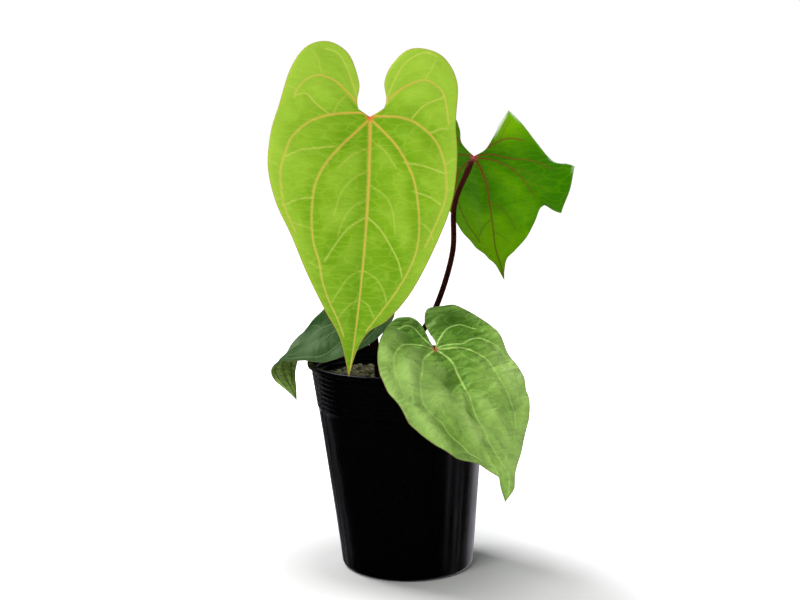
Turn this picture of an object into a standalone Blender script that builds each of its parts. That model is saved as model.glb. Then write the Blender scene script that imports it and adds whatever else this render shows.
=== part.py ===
"""Potted anthurium: a soft nursery pot, potting mix, a short crown and four stalked leaves.

The plant rests with the flat underside of its pot on Z = 0, the middle of that
underside at the origin.  +Y points to the back of the plant, +X to its right.
All sizes below are in millimetres and degrees.
"""

import math

import bmesh
import bpy
import numpy as np

# ---- pot -------------------------------------------------------------------
POT_HEIGHT = 120.0
POT_LEAN = -5.5          # the soft pot leans: its rim sits this far along X
FOOT_RADIUS = 35.5       # flat part of the underside
CORNER_RADIUS = 38.2
CORNER_HEIGHT = 3.0
WALL_TOP_RADIUS = 50.4   # wall just below the lip
LIP_RADIUS = 52.5
LIP_HEIGHT = 3.0
WALL = 1.3
FLOOR = 2.0
RIB_COUNT = 8
RIB_DEPTH = 0.6
RIB_BAND = 26.0          # the ribs fill this much below the rim
DRAIN_COUNT = 6
DRAIN_RADIUS = 3.5
DRAIN_CIRCLE = 24.0
SEGMENTS = 48

# ---- potting mix and crown ---------------------------------------------------
MIX_TOP = 108.0
MIX_LUMP = 0.7
CROWN_CENTRE = (-13.0, 2.0)
CROWN_RADIUS = 6.0
CROWN_BOTTOM = 98.0
CROWN_TOP = 113.0
GAP = 0.35

# ---- leaf blades ---------------------------------------------------------------
# Edges run from the junction with the stalk round the lobe to the tip, as
# (across, along) distances on the flattened blade.  "lobes" are the middles of
# the right and left basal lobes.  "aim" is the compass bearing from the front,
# the slope and the roll of the midrib.  "sweep" carries the midrib sideways.
# "bend" is the extra downward slope at distances along the midrib, or along a line
# turned "turn" degrees from it, away from the right edge.  "fold" is how
# steeply each half rises from the midrib and how fast that eases off.  "swells"
# are (across, along, radius, height) bulges of the blade.
BLADE_THICKNESS = 1.0
RINGS = 5                # strips between the veins and the edge
LOBE_STEPS = 4           # strips along each side of a lobe
LOBE_FAN = 6             # strips round the end of a lobe
MIDRIB_STEPS = 16

FRONT_LEAF = {
    "junction": (-21.0, -20.0, 259.0),
    "aim": (0.0, -75.5, 0.0),
    "turn": 0.0,
    "sweep": -5.6,
    "bend": ((-60, -9), (0, 0), (80, 3), (150, 6)),
    "fold": (8.0, -0.12),
    "lobes": ((28, -16), (-28, -18)),
    "right": ((0, 0), (6, -2), (9, -9), (8, -19), (12, -29), (21, -37), (32, -37),
              (42, -31), (48, -17), (47, 4), (48, 24), (46, 48), (38, 73), (28, 96),
              (17, 111), (7, 118), (2, 129), (0, 142)),
    "left": ((0, 0), (-5.5, -3), (-7, -9), (-6, -19), (-11, -34), (-19, -41),
             (-28, -42), (-37, -37), (-44, -25), (-50, -5), (-54, 10), (-55, 28),
             (-50, 47), (-40, 66), (-30, 86), (-18, 106), (-8, 121), (0, 142)),
    "swells": ((24, 20, 20, 1.2), (-26, 22, 20, 1.2), (22, 70, 16, 1.0), (-20, 74, 16, 1.0)),
}

BACK_RIGHT_LEAF = {
    "junction": (38.6, 30.0, 235.3),
    "aim": (155.0, -66.0, 0.0),
    "turn": 0.0,
    "sweep": 0.0,
    "bend": ((-60, -6), (0, 0), (60, 4), (100, 14)),
    "fold": (16.0, -0.2),
    "lobes": ((20, -13), (-24, -4)),
    "right": ((0, 0), (5, -4), (8, -9), (7.5, -16), (10, -24), (19, -30), (30, -28),
              (38, -18), (40, -4), (38, 10), (32, 24), (26, 36), (21, 47), (12, 59),
              (3, 66), (-3, 71), (-6, 77), (-8.3, 83)),
    "left": ((0, 0), (-7, -3.5), (-13, -11), (-18, -19), (-23.4, -25.6), (-24.3, -26.8),
             (-25, -25.8), (-31, -17), (-38, -5), (-45, 7), (-51, 10.6), (-55.5, 11.4),
             (-57, 12), (-56.5, 13.4), (-54.5, 24), (-49, 36.5), (-48, 38.6), (-46, 38.2),
             (-40.5, 35.2), (-38.5, 34.8), (-36.5, 35.8), (-33, 39), (-30, 46), (-24, 56),
             (-16, 64), (-11, 69), (-9, 76), (-8.3, 83)),
    "swells": ((-47, 30, 12, -5.0), (-52, 12, 9, 4.0), (-34, 38, 8, 4.0), (30, 10, 16, -3.0)),
}

FRONT_RIGHT_LEAF = {
    "junction": (14.3, -42.0, 133.8),
    "aim": (38.0, -42.0, 0.0),
    "turn": 0.0,
    "sweep": 0.0,
    "bend": ((-60, -15), (-30, -12), (0, 0), (50, 8), (100, 25)),
    "fold": (8.0, -0.12),
    "lobes": ((23, -8), (-24, -5)),
    "right": ((0, 0), (3.2, -5), (3.4, -12), (5, -20), (11, -27), (21, -29), (32, -26),
              (40, -17), (44, -3), (44, 14), (44, 30), (38, 46), (30, 58), (20, 70),
              (12, 79), (8, 87), (0.5, 93)),
    "left": ((0, 0), (0.6, -6), (1.6, -12), (1.9, -19), (-1, -25), (-7, -26), (-15, -23),
             (-26, -16), (-36, -7), (-44, 5), (-47.5, 18), (-46, 34), (-42, 46),
             (-35, 58), (-25, 65), (-12, 70), (-4, 76), (3, 82), (5, 88), (0.5, 93)),
    "swells": ((22, 12, 14, 2.0), (-22, 14, 14, 2.0), (16, 44, 14, 1.5), (-18, 46, 14, 1.5)),
}

BACK_LEFT_LEAF = {
    "junction": (-30.5, 6.0, 144.8),
    "aim": (-106.0, -20.0, 28.0),
    "turn": 34.0,
    "sweep": 0.0,
    "bend": ((-60, 10), (-20, 5), (0, 2), (16, 8), (30, 20), (38, 22), (46, 30), (52, 95),
             (60, 135), (80, 140)),
    "fold": (5.0, -0.1),
    "lobes": ((26, -8), (-22, -4)),
    "right": ((0, 0), (4, -5), (5, -13), (8, -23), (16, -29), (30, -28), (42, -17), (46, -3),
              (42, 12), (33, 27), (23, 41), (14, 54), (7, 64), (1, 73), (-5, 84)),
    "left": ((0, 0), (-4, -5), (-5, -13), (-8, -22), (-18, -28), (-33, -25), (-46, -11),
             (-52, 6), (-51, 20), (-43, 34), (-29, 45), (-17, 55), (-10.5, 65), (-7.5, 75),
             (-5, 84)),
    "swells": ((20, 20, 12, 1.5), (-14, 20, 12, 1.5)),
}

# ---- stalks --------------------------------------------------------------------
# Each stalk passes through these points and ends on the back of its blade.
STALK_BASE_RADIUS = 1.9
STALK_TOP_RADIUS = 1.5
STALK_STEPS = 24
STALK_SIDES = 10

FRONT_STALK = ((-17.0, 0.6, 113.4), (-18.8, 2.0, 132.0), (-20.0, 2.6, 150.0), (-20.5, 5.0, 200.0),
               (-21.0, 3.0, 238.0), (-21.0, -6.0, 252.0))
BACK_RIGHT_STALK = ((-9.6, 4.2, 113.4), (5.0, 10.0, 130.0), (17.0, 15.0, 150.0),
                    (26.0, 19.0, 180.0), (27.0, 21.0, 207.0), (34.5, 22.0, 227.0))
FRONT_RIGHT_STALK = ((-10.6, -1.4, 113.4), (-5.0, -9.0, 119.0), (3.0, -20.0, 124.0),
                     (9.0, -31.0, 126.5))
BACK_LEFT_STALK = ((-15.6, 5.4, 113.4), (-19.0, 6.0, 124.0), (-24.0, 3.0, 136.0))


def clear_scene():
    """Take away whatever the session started with."""
    for old in list(bpy.data.objects):
        bpy.data.objects.remove(old, do_unlink=True)


def material(name, colour, roughness):
    """A plain Principled material."""
    mat = bpy.data.materials.new(name)
    mat.use_nodes = True
    shader = mat.node_tree.nodes["Principled BSDF"]
    shader.inputs["Base Color"].default_value = (*colour, 1.0)
    shader.inputs["Roughness"].default_value = roughness
    shader.inputs["Metallic"].default_value = 0.0
    return mat


def add_part(name, points, faces, mat):
    """Turn points in millimetres and their faces into one closed, outward-facing object."""
    mesh = bpy.data.meshes.new(name)
    mesh.from_pydata([(x / 1000.0, y / 1000.0, z / 1000.0) for x, y, z in points], [], faces)
    body = bmesh.new()
    body.from_mesh(mesh)
    bmesh.ops.remove_doubles(body, verts=body.verts, dist=0.000001)
    bmesh.ops.recalc_face_normals(body, faces=body.faces)
    body.to_mesh(mesh)
    body.free()
    mesh.materials.append(mat)
    part = bpy.data.objects.new(name, mesh)
    bpy.context.scene.collection.objects.link(part)
    return part


def grid_faces(rows, columns):
    """Quads between neighbouring rows of points; every row is a closed ring."""
    faces = []
    for row in range(rows - 1):
        for column in range(columns):
            after = (column + 1) % columns
            first = row * columns
            second = first + columns
            faces.append((first + column, first + after, second + after, second + column))
    return faces


def wall_radius(height):
    """Outside radius of the pot wall, without ribs or lip."""
    part_way = (height - CORNER_HEIGHT) / (POT_HEIGHT - CORNER_HEIGHT)
    return CORNER_RADIUS + (WALL_TOP_RADIUS - CORNER_RADIUS) * part_way


def lean(height):
    """How far the pot's centre line has moved along X at this height."""
    return POT_LEAN * height / POT_HEIGHT


def pot_ring(radius, height):
    """One level ring of points round the leaning centre line."""
    ring = []
    for step in range(SEGMENTS):
        angle = 2.0 * math.pi * step / SEGMENTS
        ring.append((lean(height) + radius * math.cos(angle), radius * math.sin(angle), height))
    return ring


def pot_profile():
    """(radius, height) pairs from the middle of the underside round to the inside floor."""
    profile = [(FOOT_RADIUS, 0.0), (FOOT_RADIUS + 1.9, 0.8), (CORNER_RADIUS, CORNER_HEIGHT)]
    band_start = POT_HEIGHT - RIB_BAND
    pitch = (RIB_BAND - LIP_HEIGHT) / RIB_COUNT
    for rib in range(RIB_COUNT):
        low = band_start + rib * pitch
        profile.append((wall_radius(low), low))
        profile.append((wall_radius(low + 0.5 * pitch) + RIB_DEPTH, low + 0.5 * pitch))
    lip_start = POT_HEIGHT - LIP_HEIGHT
    profile.append((wall_radius(lip_start), lip_start))
    profile.append((LIP_RADIUS, lip_start + 0.8))
    profile.append((LIP_RADIUS, POT_HEIGHT))
    profile.append((wall_radius(POT_HEIGHT) - WALL, POT_HEIGHT))
    profile.append((CORNER_RADIUS - WALL, CORNER_HEIGHT))
    profile.append((FOOT_RADIUS - 0.4, FLOOR))
    return profile


def build_pot():
    """The thin ribbed pot, then its drain holes cut through the floor."""
    profile = pot_profile()
    points = []
    for radius, height in profile:
        points.extend(pot_ring(radius, height))
    faces = grid_faces(len(profile), SEGMENTS)
    under = len(points)
    points.append((0.0, 0.0, 0.0))
    points.append((lean(FLOOR), 0.0, FLOOR))
    last = (len(profile) - 1) * SEGMENTS
    for step in range(SEGMENTS):
        after = (step + 1) % SEGMENTS
        faces.append((under, after, step))
        faces.append((under + 1, last + step, last + after))
    pot = add_part("nursery_pot", points, faces, material("black_plastic", (0.012, 0.012, 0.014), 0.25))
    cutter = drain_cutter()
    cut = pot.modifiers.new("drain_holes", "BOOLEAN")
    cut.operation = "DIFFERENCE"
    cut.solver = "EXACT"
    cut.object = cutter


def drain_cutter():
    """Upright pegs where the drain holes go."""
    points = []
    faces = []
    sides = 12
    for hole in range(DRAIN_COUNT):
        turn = 2.0 * math.pi * (hole + 0.5) / DRAIN_COUNT
        x = DRAIN_CIRCLE * math.cos(turn)
        y = DRAIN_CIRCLE * math.sin(turn)
        start = len(points)
        for height in (-2.0, FLOOR + 2.0):
            for side in range(sides):
                angle = 2.0 * math.pi * side / sides
                points.append((x + DRAIN_RADIUS * math.cos(angle),
                               y + DRAIN_RADIUS * math.sin(angle), height))
        for side in range(sides):
            after = (side + 1) % sides
            faces.append((start + side, start + after, start + sides + after, start + sides + side))
        faces.append(tuple(range(start + sides - 1, start - 1, -1)))
        faces.append(tuple(range(start + sides, start + 2 * sides)))
    cutter = add_part("drain_cutter", points, faces, material("cutter", (0.5, 0.5, 0.5), 0.5))
    cutter.hide_render = True
    cutter.display_type = "WIRE"
    return cutter


def mix_height(x, y):
    """Gently lumpy top of the potting mix."""
    return MIX_TOP + MIX_LUMP * math.sin(0.31 * x + 0.7) * math.cos(0.27 * y - 0.4)


def build_mix():
    """Potting mix filling the pot, with a socket for the crown."""
    inside = WALL + GAP
    points = []
    rows = 0
    for height in (FLOOR + GAP, CORNER_HEIGHT + 1.0, MIX_TOP - 2.0):
        radius = wall_radius(height) - inside
        if rows == 0:
            radius = FOOT_RADIUS - 1.5
        points.extend(pot_ring(radius, height))
        rows += 1
    rim = pot_ring(wall_radius(MIX_TOP) - inside, MIX_TOP)
    for part_way in (0.0, 0.25, 0.5, 0.75, 1.0):
        for step in range(SEGMENTS):
            angle = 2.0 * math.pi * step / SEGMENTS
            near_x = CROWN_CENTRE[0] + (CROWN_RADIUS + GAP) * math.cos(angle)
            near_y = CROWN_CENTRE[1] + (CROWN_RADIUS + GAP) * math.sin(angle)
            x = rim[step][0] + (near_x - rim[step][0]) * part_way
            y = rim[step][1] + (near_y - rim[step][1]) * part_way
            points.append((x, y, mix_height(x, y)))
        rows += 1
    for step in range(SEGMENTS):
        angle = 2.0 * math.pi * step / SEGMENTS
        points.append((CROWN_CENTRE[0] + (CROWN_RADIUS + GAP) * math.cos(angle),
                       CROWN_CENTRE[1] + (CROWN_RADIUS + GAP) * math.sin(angle),
                       CROWN_BOTTOM - GAP))
    rows += 1
    faces = grid_faces(rows, SEGMENTS)
    bottom = len(points)
    points.append((lean(FLOOR), 0.0, FLOOR + GAP))
    points.append((CROWN_CENTRE[0], CROWN_CENTRE[1], CROWN_BOTTOM - GAP))
    last = (rows - 1) * SEGMENTS
    for step in range(SEGMENTS):
        after = (step + 1) % SEGMENTS
        faces.append((bottom, after, step))
        faces.append((bottom + 1, last + step, last + after))
    add_part("potting_mix", points, faces, material("potting_mix", (0.28, 0.24, 0.19), 0.9))


def build_crown():
    """The short stem the stalks spring from."""
    sides = 24
    levels = ((CROWN_RADIUS - 1.0, CROWN_BOTTOM), (CROWN_RADIUS, CROWN_BOTTOM + 3.0),
              (CROWN_RADIUS, CROWN_TOP - 1.5), (CROWN_RADIUS - 0.8, CROWN_TOP))
    points = []
    for radius, height in levels:
        for side in range(sides):
            angle = 2.0 * math.pi * side / sides
            points.append((CROWN_CENTRE[0] + radius * math.cos(angle),
                           CROWN_CENTRE[1] + radius * math.sin(angle), height))
    faces = grid_faces(len(levels), sides)
    faces.append(tuple(range(sides - 1, -1, -1)))
    faces.append(tuple(range(3 * sides, 4 * sides)))
    add_part("crown_stem", points, faces, material("crown_stem", (0.16, 0.12, 0.06), 0.7))


def smooth_line(points, count):
    """A smooth curve through the points, as count places equally far apart along it."""
    fixed = np.array(points, float)
    fixed = np.vstack([2.0 * fixed[0] - fixed[1], fixed, 2.0 * fixed[-1] - fixed[-2]])
    part_way = np.linspace(0.0, 1.0, 24, endpoint=False)[:, None]
    pieces = []
    for index in range(1, len(fixed) - 2):
        before, start, end, beyond = fixed[index - 1:index + 3]
        pieces.append(0.5 * (2.0 * start + (end - before) * part_way
                             + (2.0 * before - 5.0 * start + 4.0 * end - beyond) * part_way ** 2
                             + (3.0 * start - before - 3.0 * end + beyond) * part_way ** 3))
    fine = np.vstack(pieces + [fixed[-2][None]])
    travelled = np.concatenate([[0.0], np.cumsum(np.linalg.norm(np.diff(fine, axis=0), axis=1))])
    wanted = np.linspace(0.0, travelled[-1], count)
    return np.stack([np.interp(wanted, travelled, fine[:, axis]) for axis in range(fine.shape[1])], 1)


def half_blade(edge, lobe):
    """Flat grid of one half of a blade: rows of points from the veins out to the edge."""
    steps = 2 * LOBE_STEPS + LOBE_FAN + MIDRIB_STEPS
    rim = smooth_line(edge, steps + 1)
    middle = np.array(lobe, float)
    tip = np.array(edge[-1], float)
    up = np.linspace(0.0, 1.0, LOBE_STEPS + 1)[:, None] * middle
    round_end = np.repeat(middle[None], LOBE_FAN - 1, axis=0)
    down = np.linspace(1.0, 0.0, LOBE_STEPS + 1)[:, None] * middle
    midrib = np.linspace(0.0, 1.0, MIDRIB_STEPS + 1)[1:, None] * tip
    veins = np.vstack([up, round_end, down, midrib])
    part_way = np.linspace(0.0, 1.0, RINGS + 1)[None, :, None]
    return veins[:, None, :] * (1.0 - part_way) + rim[:, None, :] * part_way


def midrib_curve(bend, along):
    """Forward distance, height and slope of the midrib at these distances along it."""
    knots = np.array(bend, float)
    travel = np.linspace(-90.0, 170.0, 521)
    slope = np.radians(np.interp(travel, knots[:, 0], knots[:, 1]))
    slope = np.convolve(np.pad(slope, 10, mode="edge"), np.ones(21) / 21.0, mode="valid")
    step = travel[1] - travel[0]
    forward = np.cumsum(np.cos(slope)) * step
    height = -np.cumsum(np.sin(slope)) * step
    forward = forward - np.interp(0.0, travel, forward)
    height = height - np.interp(0.0, travel, height)
    return (np.interp(along, travel, forward), np.interp(along, travel, height),
            np.interp(along, travel, slope))


def blade_surface(leaf, across, along):
    """Where points of the flattened blade end up: folded, swollen, bent, then aimed."""
    start = math.radians(leaf["fold"][0])
    ease = math.radians(leaf["fold"][1])
    wide = np.abs(across)
    side = np.sign(across) * (np.sin(start + ease * wide) - math.sin(start)) / ease
    rise = (math.cos(start) - np.cos(start + ease * wide)) / ease
    for swell_across, swell_along, radius, height in leaf["swells"]:
        apart = (across - swell_across) ** 2 + (along - swell_along) ** 2
        rise = rise + height * np.exp(-apart / radius ** 2)
    turn = math.radians(leaf["turn"])
    forward, drop, slope = midrib_curve(leaf["bend"], along * math.cos(turn) - side * math.sin(turn))
    side = side * math.cos(turn) + along * math.sin(turn)
    side = side + leaf["sweep"] * np.maximum(along, 0.0) ** 2 / 10000.0
    forward = forward + rise * np.sin(slope)
    height = drop + rise * np.cos(slope)
    bearing, dip, roll = [math.radians(value) for value in leaf["aim"]]
    ahead = np.array([math.sin(bearing) * math.cos(dip), -math.cos(bearing) * math.cos(dip), math.sin(dip)])
    upward = np.array([-math.sin(bearing) * math.sin(dip), math.cos(bearing) * math.sin(dip), math.cos(dip)])
    sideways = np.cross(upward, ahead)
    upward = upward * math.cos(roll) + sideways * math.sin(roll)
    sideways = np.cross(upward, ahead)
    ahead = ahead * math.cos(turn) - sideways * math.sin(turn)
    sideways = np.cross(upward, ahead)
    return (np.array(leaf["junction"]) + side[..., None] * sideways
            + forward[..., None] * ahead + height[..., None] * upward)


def blade_normal(leaf, across, along):
    """Direction square to the upper face of the blade."""
    reach = 0.2
    sideways = blade_surface(leaf, across + reach, along) - blade_surface(leaf, across - reach, along)
    ahead = blade_surface(leaf, across, along + reach) - blade_surface(leaf, across, along - reach)
    normal = np.cross(ahead, sideways)
    return normal / np.linalg.norm(normal, axis=-1, keepdims=True)


def build_blade(name, leaf, mat):
    """One thin closed blade: upper face, under face and the edge between them."""
    points = []
    faces = []
    for edge, lobe in ((leaf["right"], leaf["lobes"][0]), (leaf["left"], leaf["lobes"][1])):
        flat = half_blade(edge, lobe)
        rows, columns = flat.shape[:2]
        across = flat[..., 0]
        along = flat[..., 1]
        surface = blade_surface(leaf, across, along)
        normal = blade_normal(leaf, across, along)
        layers = (surface + 0.5 * BLADE_THICKNESS * normal, surface - 0.5 * BLADE_THICKNESS * normal)
        start = len(points)
        size = rows * columns
        for layer in layers:
            points.extend(map(tuple, layer.reshape(-1, 3)))
        for row in range(rows - 1):
            for column in range(columns - 1):
                corner = start + row * columns + column
                quad = (corner, corner + 1, corner + columns + 1, corner + columns)
                faces.append(quad)
                faces.append(tuple(size + index for index in reversed(quad)))
            outer = start + row * columns + columns - 1
            faces.append((outer, outer + size, outer + size + columns, outer + columns))
    add_part(name, points, tidy_faces(points, faces), mat)


def tidy_faces(points, faces):
    """Leave out repeated corners where strips of a blade run together to a point."""
    tidy = []
    for face in faces:
        kept = []
        for index in face:
            here = points[index]
            if all(math.dist(here, points[other]) > 0.001 for other in kept):
                kept.append(index)
        if len(kept) > 2:
            tidy.append(tuple(kept))
    return tidy


def build_stalk(name, route, leaf, mat):
    """A tapering round stalk ending square on the back of its blade."""
    normal = blade_normal(leaf, np.array([0.0]), np.array([1.5]))[0]
    landing = blade_surface(leaf, np.array([0.0]), np.array([1.5]))[0]
    end = landing - normal * (0.5 * BLADE_THICKNESS + GAP + 0.15)
    before_end = end - normal * 4.0
    line = smooth_line(list(route) + [tuple(before_end), tuple(end)], STALK_STEPS + 1)
    points = []
    guide = np.array([0.0, 1.0, 0.0])
    for step, centre in enumerate(line):
        ahead = line[min(step + 1, STALK_STEPS)] - line[max(step - 1, 0)]
        if step == 0:
            ahead = np.array([0.0, 0.0, 1.0])
        if step == STALK_STEPS:
            ahead = normal
        ahead = ahead / np.linalg.norm(ahead)
        guide = guide - ahead * np.dot(guide, ahead)
        guide = guide / np.linalg.norm(guide)
        other = np.cross(ahead, guide)
        part_way = step / STALK_STEPS
        radius = STALK_BASE_RADIUS + (STALK_TOP_RADIUS - STALK_BASE_RADIUS) * part_way
        for side in range(STALK_SIDES):
            angle = 2.0 * math.pi * side / STALK_SIDES
            points.append(tuple(centre + radius * (math.cos(angle) * guide + math.sin(angle) * other)))
    faces = grid_faces(STALK_STEPS + 1, STALK_SIDES)
    last = STALK_STEPS * STALK_SIDES
    faces.append(tuple(range(STALK_SIDES - 1, -1, -1)))
    faces.append(tuple(range(last, last + STALK_SIDES)))
    add_part(name, points, faces, mat)


def build():
    """Make every piece of the plant."""
    clear_scene()
    build_pot()
    build_mix()
    build_crown()
    stalk_skin = material("dark_red_stalk", (0.05, 0.012, 0.012), 0.4)
    build_stalk("front_leaf_stalk", FRONT_STALK, FRONT_LEAF, stalk_skin)
    build_stalk("back_right_leaf_stalk", BACK_RIGHT_STALK, BACK_RIGHT_LEAF, stalk_skin)
    build_stalk("front_right_leaf_stalk", FRONT_RIGHT_STALK, FRONT_RIGHT_LEAF, stalk_skin)
    build_stalk("back_left_leaf_stalk", BACK_LEFT_STALK, BACK_LEFT_LEAF, stalk_skin)
    build_blade("front_leaf_blade", FRONT_LEAF, material("young_leaf", (0.30, 0.52, 0.05), 0.45))
    build_blade("back_right_leaf_blade", BACK_RIGHT_LEAF, material("green_leaf", (0.08, 0.30, 0.02), 0.4))
    build_blade("front_right_leaf_blade", FRONT_RIGHT_LEAF, material("grown_leaf", (0.13, 0.32, 0.09), 0.45))
    build_blade("back_left_leaf_blade", BACK_LEFT_LEAF, material("old_leaf", (0.05, 0.12, 0.06), 0.5))


build()
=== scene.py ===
import math

import bmesh
import bpy
import numpy as np
from mathutils.geometry import tessellate_polygon
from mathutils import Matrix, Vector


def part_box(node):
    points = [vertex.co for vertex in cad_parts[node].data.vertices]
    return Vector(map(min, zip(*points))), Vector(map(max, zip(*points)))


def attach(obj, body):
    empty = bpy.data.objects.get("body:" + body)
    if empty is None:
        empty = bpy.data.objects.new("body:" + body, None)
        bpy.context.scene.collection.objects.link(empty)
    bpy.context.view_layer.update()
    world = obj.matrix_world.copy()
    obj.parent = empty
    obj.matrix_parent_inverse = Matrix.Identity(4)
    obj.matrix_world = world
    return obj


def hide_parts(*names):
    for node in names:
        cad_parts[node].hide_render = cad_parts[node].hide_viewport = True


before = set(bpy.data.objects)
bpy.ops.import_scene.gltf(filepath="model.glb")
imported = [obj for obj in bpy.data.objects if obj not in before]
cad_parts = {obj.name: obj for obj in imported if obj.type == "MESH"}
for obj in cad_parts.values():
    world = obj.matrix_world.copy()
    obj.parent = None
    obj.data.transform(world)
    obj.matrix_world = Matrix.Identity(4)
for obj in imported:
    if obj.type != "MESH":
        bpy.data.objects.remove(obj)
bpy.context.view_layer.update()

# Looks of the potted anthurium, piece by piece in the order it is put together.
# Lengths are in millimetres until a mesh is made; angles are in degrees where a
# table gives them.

# ---- Nursery pot -------------------------------------------------------------
# A thin pot blown from soft black plastic, stiffened by fine rings under its
# rolled lip and pushed a little out of true, so its tall sides carry long soft
# creases.  It simply stands on its flat foot, which is pierced for drainage.

MM = 0.001
pot_low, pot_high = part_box("nursery_pot")
POT_HEIGHT = pot_high[2] / MM
POT_LEAN = 0.5 * (pot_low[0] + pot_high[0]) / MM
LIP_RADIUS = 0.5 * (pot_high[1] - pot_low[1]) / MM
FOOT_RADIUS = 35.5
CORNER_RADIUS = 38.2
CORNER_HEIGHT = 3.0
WALL_TOP_RADIUS = 50.4
WALL = 0.9
FLOOR = 1.4
RIB_COUNT = 8
RIB_DEPTH = 0.45
RIB_BAND = 26.0
RIBS_STOP_BELOW_TOP = 3.2
LIP_HALF_HEIGHT = 1.5
SQUARENESS = 0.6
# Heights in mm over which the creases fade out above the foot and below the lip.
FOOT_CALM = 12.0
LIP_CALM = 40.0
DRAIN_COUNT = 6
DRAIN_RADIUS = 3.5
DRAIN_CIRCLE = 24.0
POT_TURNS = 288
CORNER_ROWS = 9
WALL_ROWS = 40
ROWS_PER_RIB = 9
LIP_ROWS = 25
LIP_ROWS_IN_WALL = 6
INSIDE_ROWS = 30
DRAIN_TURNS = 24
WELD_REACH = 0.000002

# (bearing from the right in degrees, width in degrees, depth in mm)
POT_CREASES = ((-44.0, 1.3, 0.35), (-52.0, 4.0, -0.30), (-158.0, 1.2, 0.30), (-150.0, 5.0, -0.25),
               (20.0, 3.0, -0.30), (75.0, 5.0, 0.30), (118.0, 2.0, -0.30), (-100.0, 9.0, -0.20))


def new_object(name, points, faces, smooth=True):
    """A mesh object at the origin from points in millimetres and an array or list of faces."""
    mesh = bpy.data.meshes.new(name)
    mesh.from_pydata((np.asarray(points, float) * MM).tolist(), [],
                     faces.tolist() if isinstance(faces, np.ndarray) else faces)
    mesh.polygons.foreach_set("use_smooth", [smooth] * len(mesh.polygons))
    mesh.update()
    made = bpy.data.objects.new(name, mesh)
    bpy.context.scene.collection.objects.link(made)
    return made


def weld(made):
    """Joins points that lie on each other and turns every face outwards."""
    body = bmesh.new()
    body.from_mesh(made.data)
    bmesh.ops.remove_doubles(body, verts=body.verts, dist=WELD_REACH)
    bmesh.ops.recalc_face_normals(body, faces=body.faces)
    body.to_mesh(made.data)
    body.free()


def ring_quads(rows, columns, closed=True):
    """Quads between neighbouring rows of a grid; with closed, each row is a ring."""
    row = np.arange(rows - 1)[:, None]
    column = np.arange(columns if closed else columns - 1)[None, :]
    after = (column + 1) % columns
    quads = np.stack([row * columns + column, row * columns + after,
                      (row + 1) * columns + after, (row + 1) * columns + column], axis=-1)
    return quads.reshape(-1, 4)


def revolve(radius, level, angle, centre_x, centre_y=0.0):
    """Points of a surface turned about an upright line; radius and centre may change with height
    and bearing."""
    return np.stack([centre_x + radius * np.cos(angle), centre_y + radius * np.sin(angle),
                     level + 0.0 * angle], axis=-1)


def squared(value, power):
    """The value to a power, its sign kept: a power below 1 squares a round shape off."""
    return np.sign(value) * np.abs(value) ** power


def wall_radius(height):
    """Straight taper from the foot's corner to the lip."""
    part_way = (height - CORNER_HEIGHT) / (POT_HEIGHT - CORNER_HEIGHT)
    return CORNER_RADIUS + (WALL_TOP_RADIUS - CORNER_RADIUS) * part_way


def pot_profile():
    """(radius, height, how far the creases show) of the foot, round corner, tall wall, rings, rolled
    lip and inside."""
    turn = np.linspace(-0.5 * np.pi, 0.0, CORNER_ROWS)
    corner_radius = FOOT_RADIUS + (CORNER_RADIUS - FOOT_RADIUS) * np.cos(turn)
    corner_height = CORNER_HEIGHT * (1.0 + np.sin(turn))
    band = POT_HEIGHT - RIB_BAND
    ribs_stop = POT_HEIGHT - RIBS_STOP_BELOW_TOP
    height = np.linspace(CORNER_HEIGHT, band, WALL_ROWS)[1:]
    rings = np.linspace(band, ribs_stop, RIB_COUNT * ROWS_PER_RIB + 1)[1:]
    phase = (rings - band) / (ribs_stop - band) * RIB_COUNT
    swell = RIB_DEPTH * np.abs(np.sin(np.pi * phase)) ** SQUARENESS
    outside_radius = np.concatenate([corner_radius, wall_radius(height), wall_radius(rings) + swell])
    outside_height = np.concatenate([corner_height, height, rings])
    roll = np.linspace(-0.5 * np.pi, 1.5 * np.pi, LIP_ROWS)[:-LIP_ROWS_IN_WALL]
    thick = 0.5 * (LIP_RADIUS - wall_radius(POT_HEIGHT) + WALL)
    lip_radius = LIP_RADIUS - thick + thick * squared(np.cos(roll), SQUARENESS)
    lip_height = POT_HEIGHT - LIP_HALF_HEIGHT + LIP_HALF_HEIGHT * squared(np.sin(roll), SQUARENESS)
    inner = np.linspace(band, FLOOR, INSIDE_ROWS)
    radius = np.concatenate([outside_radius, lip_radius, (wall_radius(rings) + swell - WALL)[::-1],
                             wall_radius(inner) - WALL, [FOOT_RADIUS - 0.5]])
    level = np.concatenate([outside_height, lip_height, rings[::-1], inner, [FLOOR]])
    ease = (np.clip(level / FOOT_CALM, 0.0, 1.0)
            * np.clip((POT_HEIGHT - 2.0 - level) / LIP_CALM, 0.0, 1.0))
    return radius, level, ease


def creases(angle, level):
    """Sum of long bell-shaped dents, each on its own bearing and wandering slowly with height."""
    dent = 0.25 * np.sin(3.0 * angle + 0.6) + 0.2 * np.sin(5.0 * angle + level / 60.0)
    for bearing, width, depth in POT_CREASES:
        wander = np.radians(bearing + 2.0 * np.sin(level / 37.0 + bearing))
        apart = np.angle(np.exp(1j * (angle - wander)))
        dent = dent + depth * np.exp(-(apart / np.radians(width)) ** 2)
    return dent


pot_radius, pot_level, pot_ease = pot_profile()
pot_angle = np.linspace(0.0, 2.0 * np.pi, POT_TURNS, endpoint=False)[None, :]
pot_level = pot_level[:, None]
pot_reach = pot_radius[:, None] + pot_ease[:, None] * creases(pot_angle, pot_level)
pot_points = revolve(pot_reach, pot_level, pot_angle, POT_LEAN * pot_level / POT_HEIGHT).reshape(-1, 3)
pot_faces = ring_quads(len(pot_radius), POT_TURNS).tolist()

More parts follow.
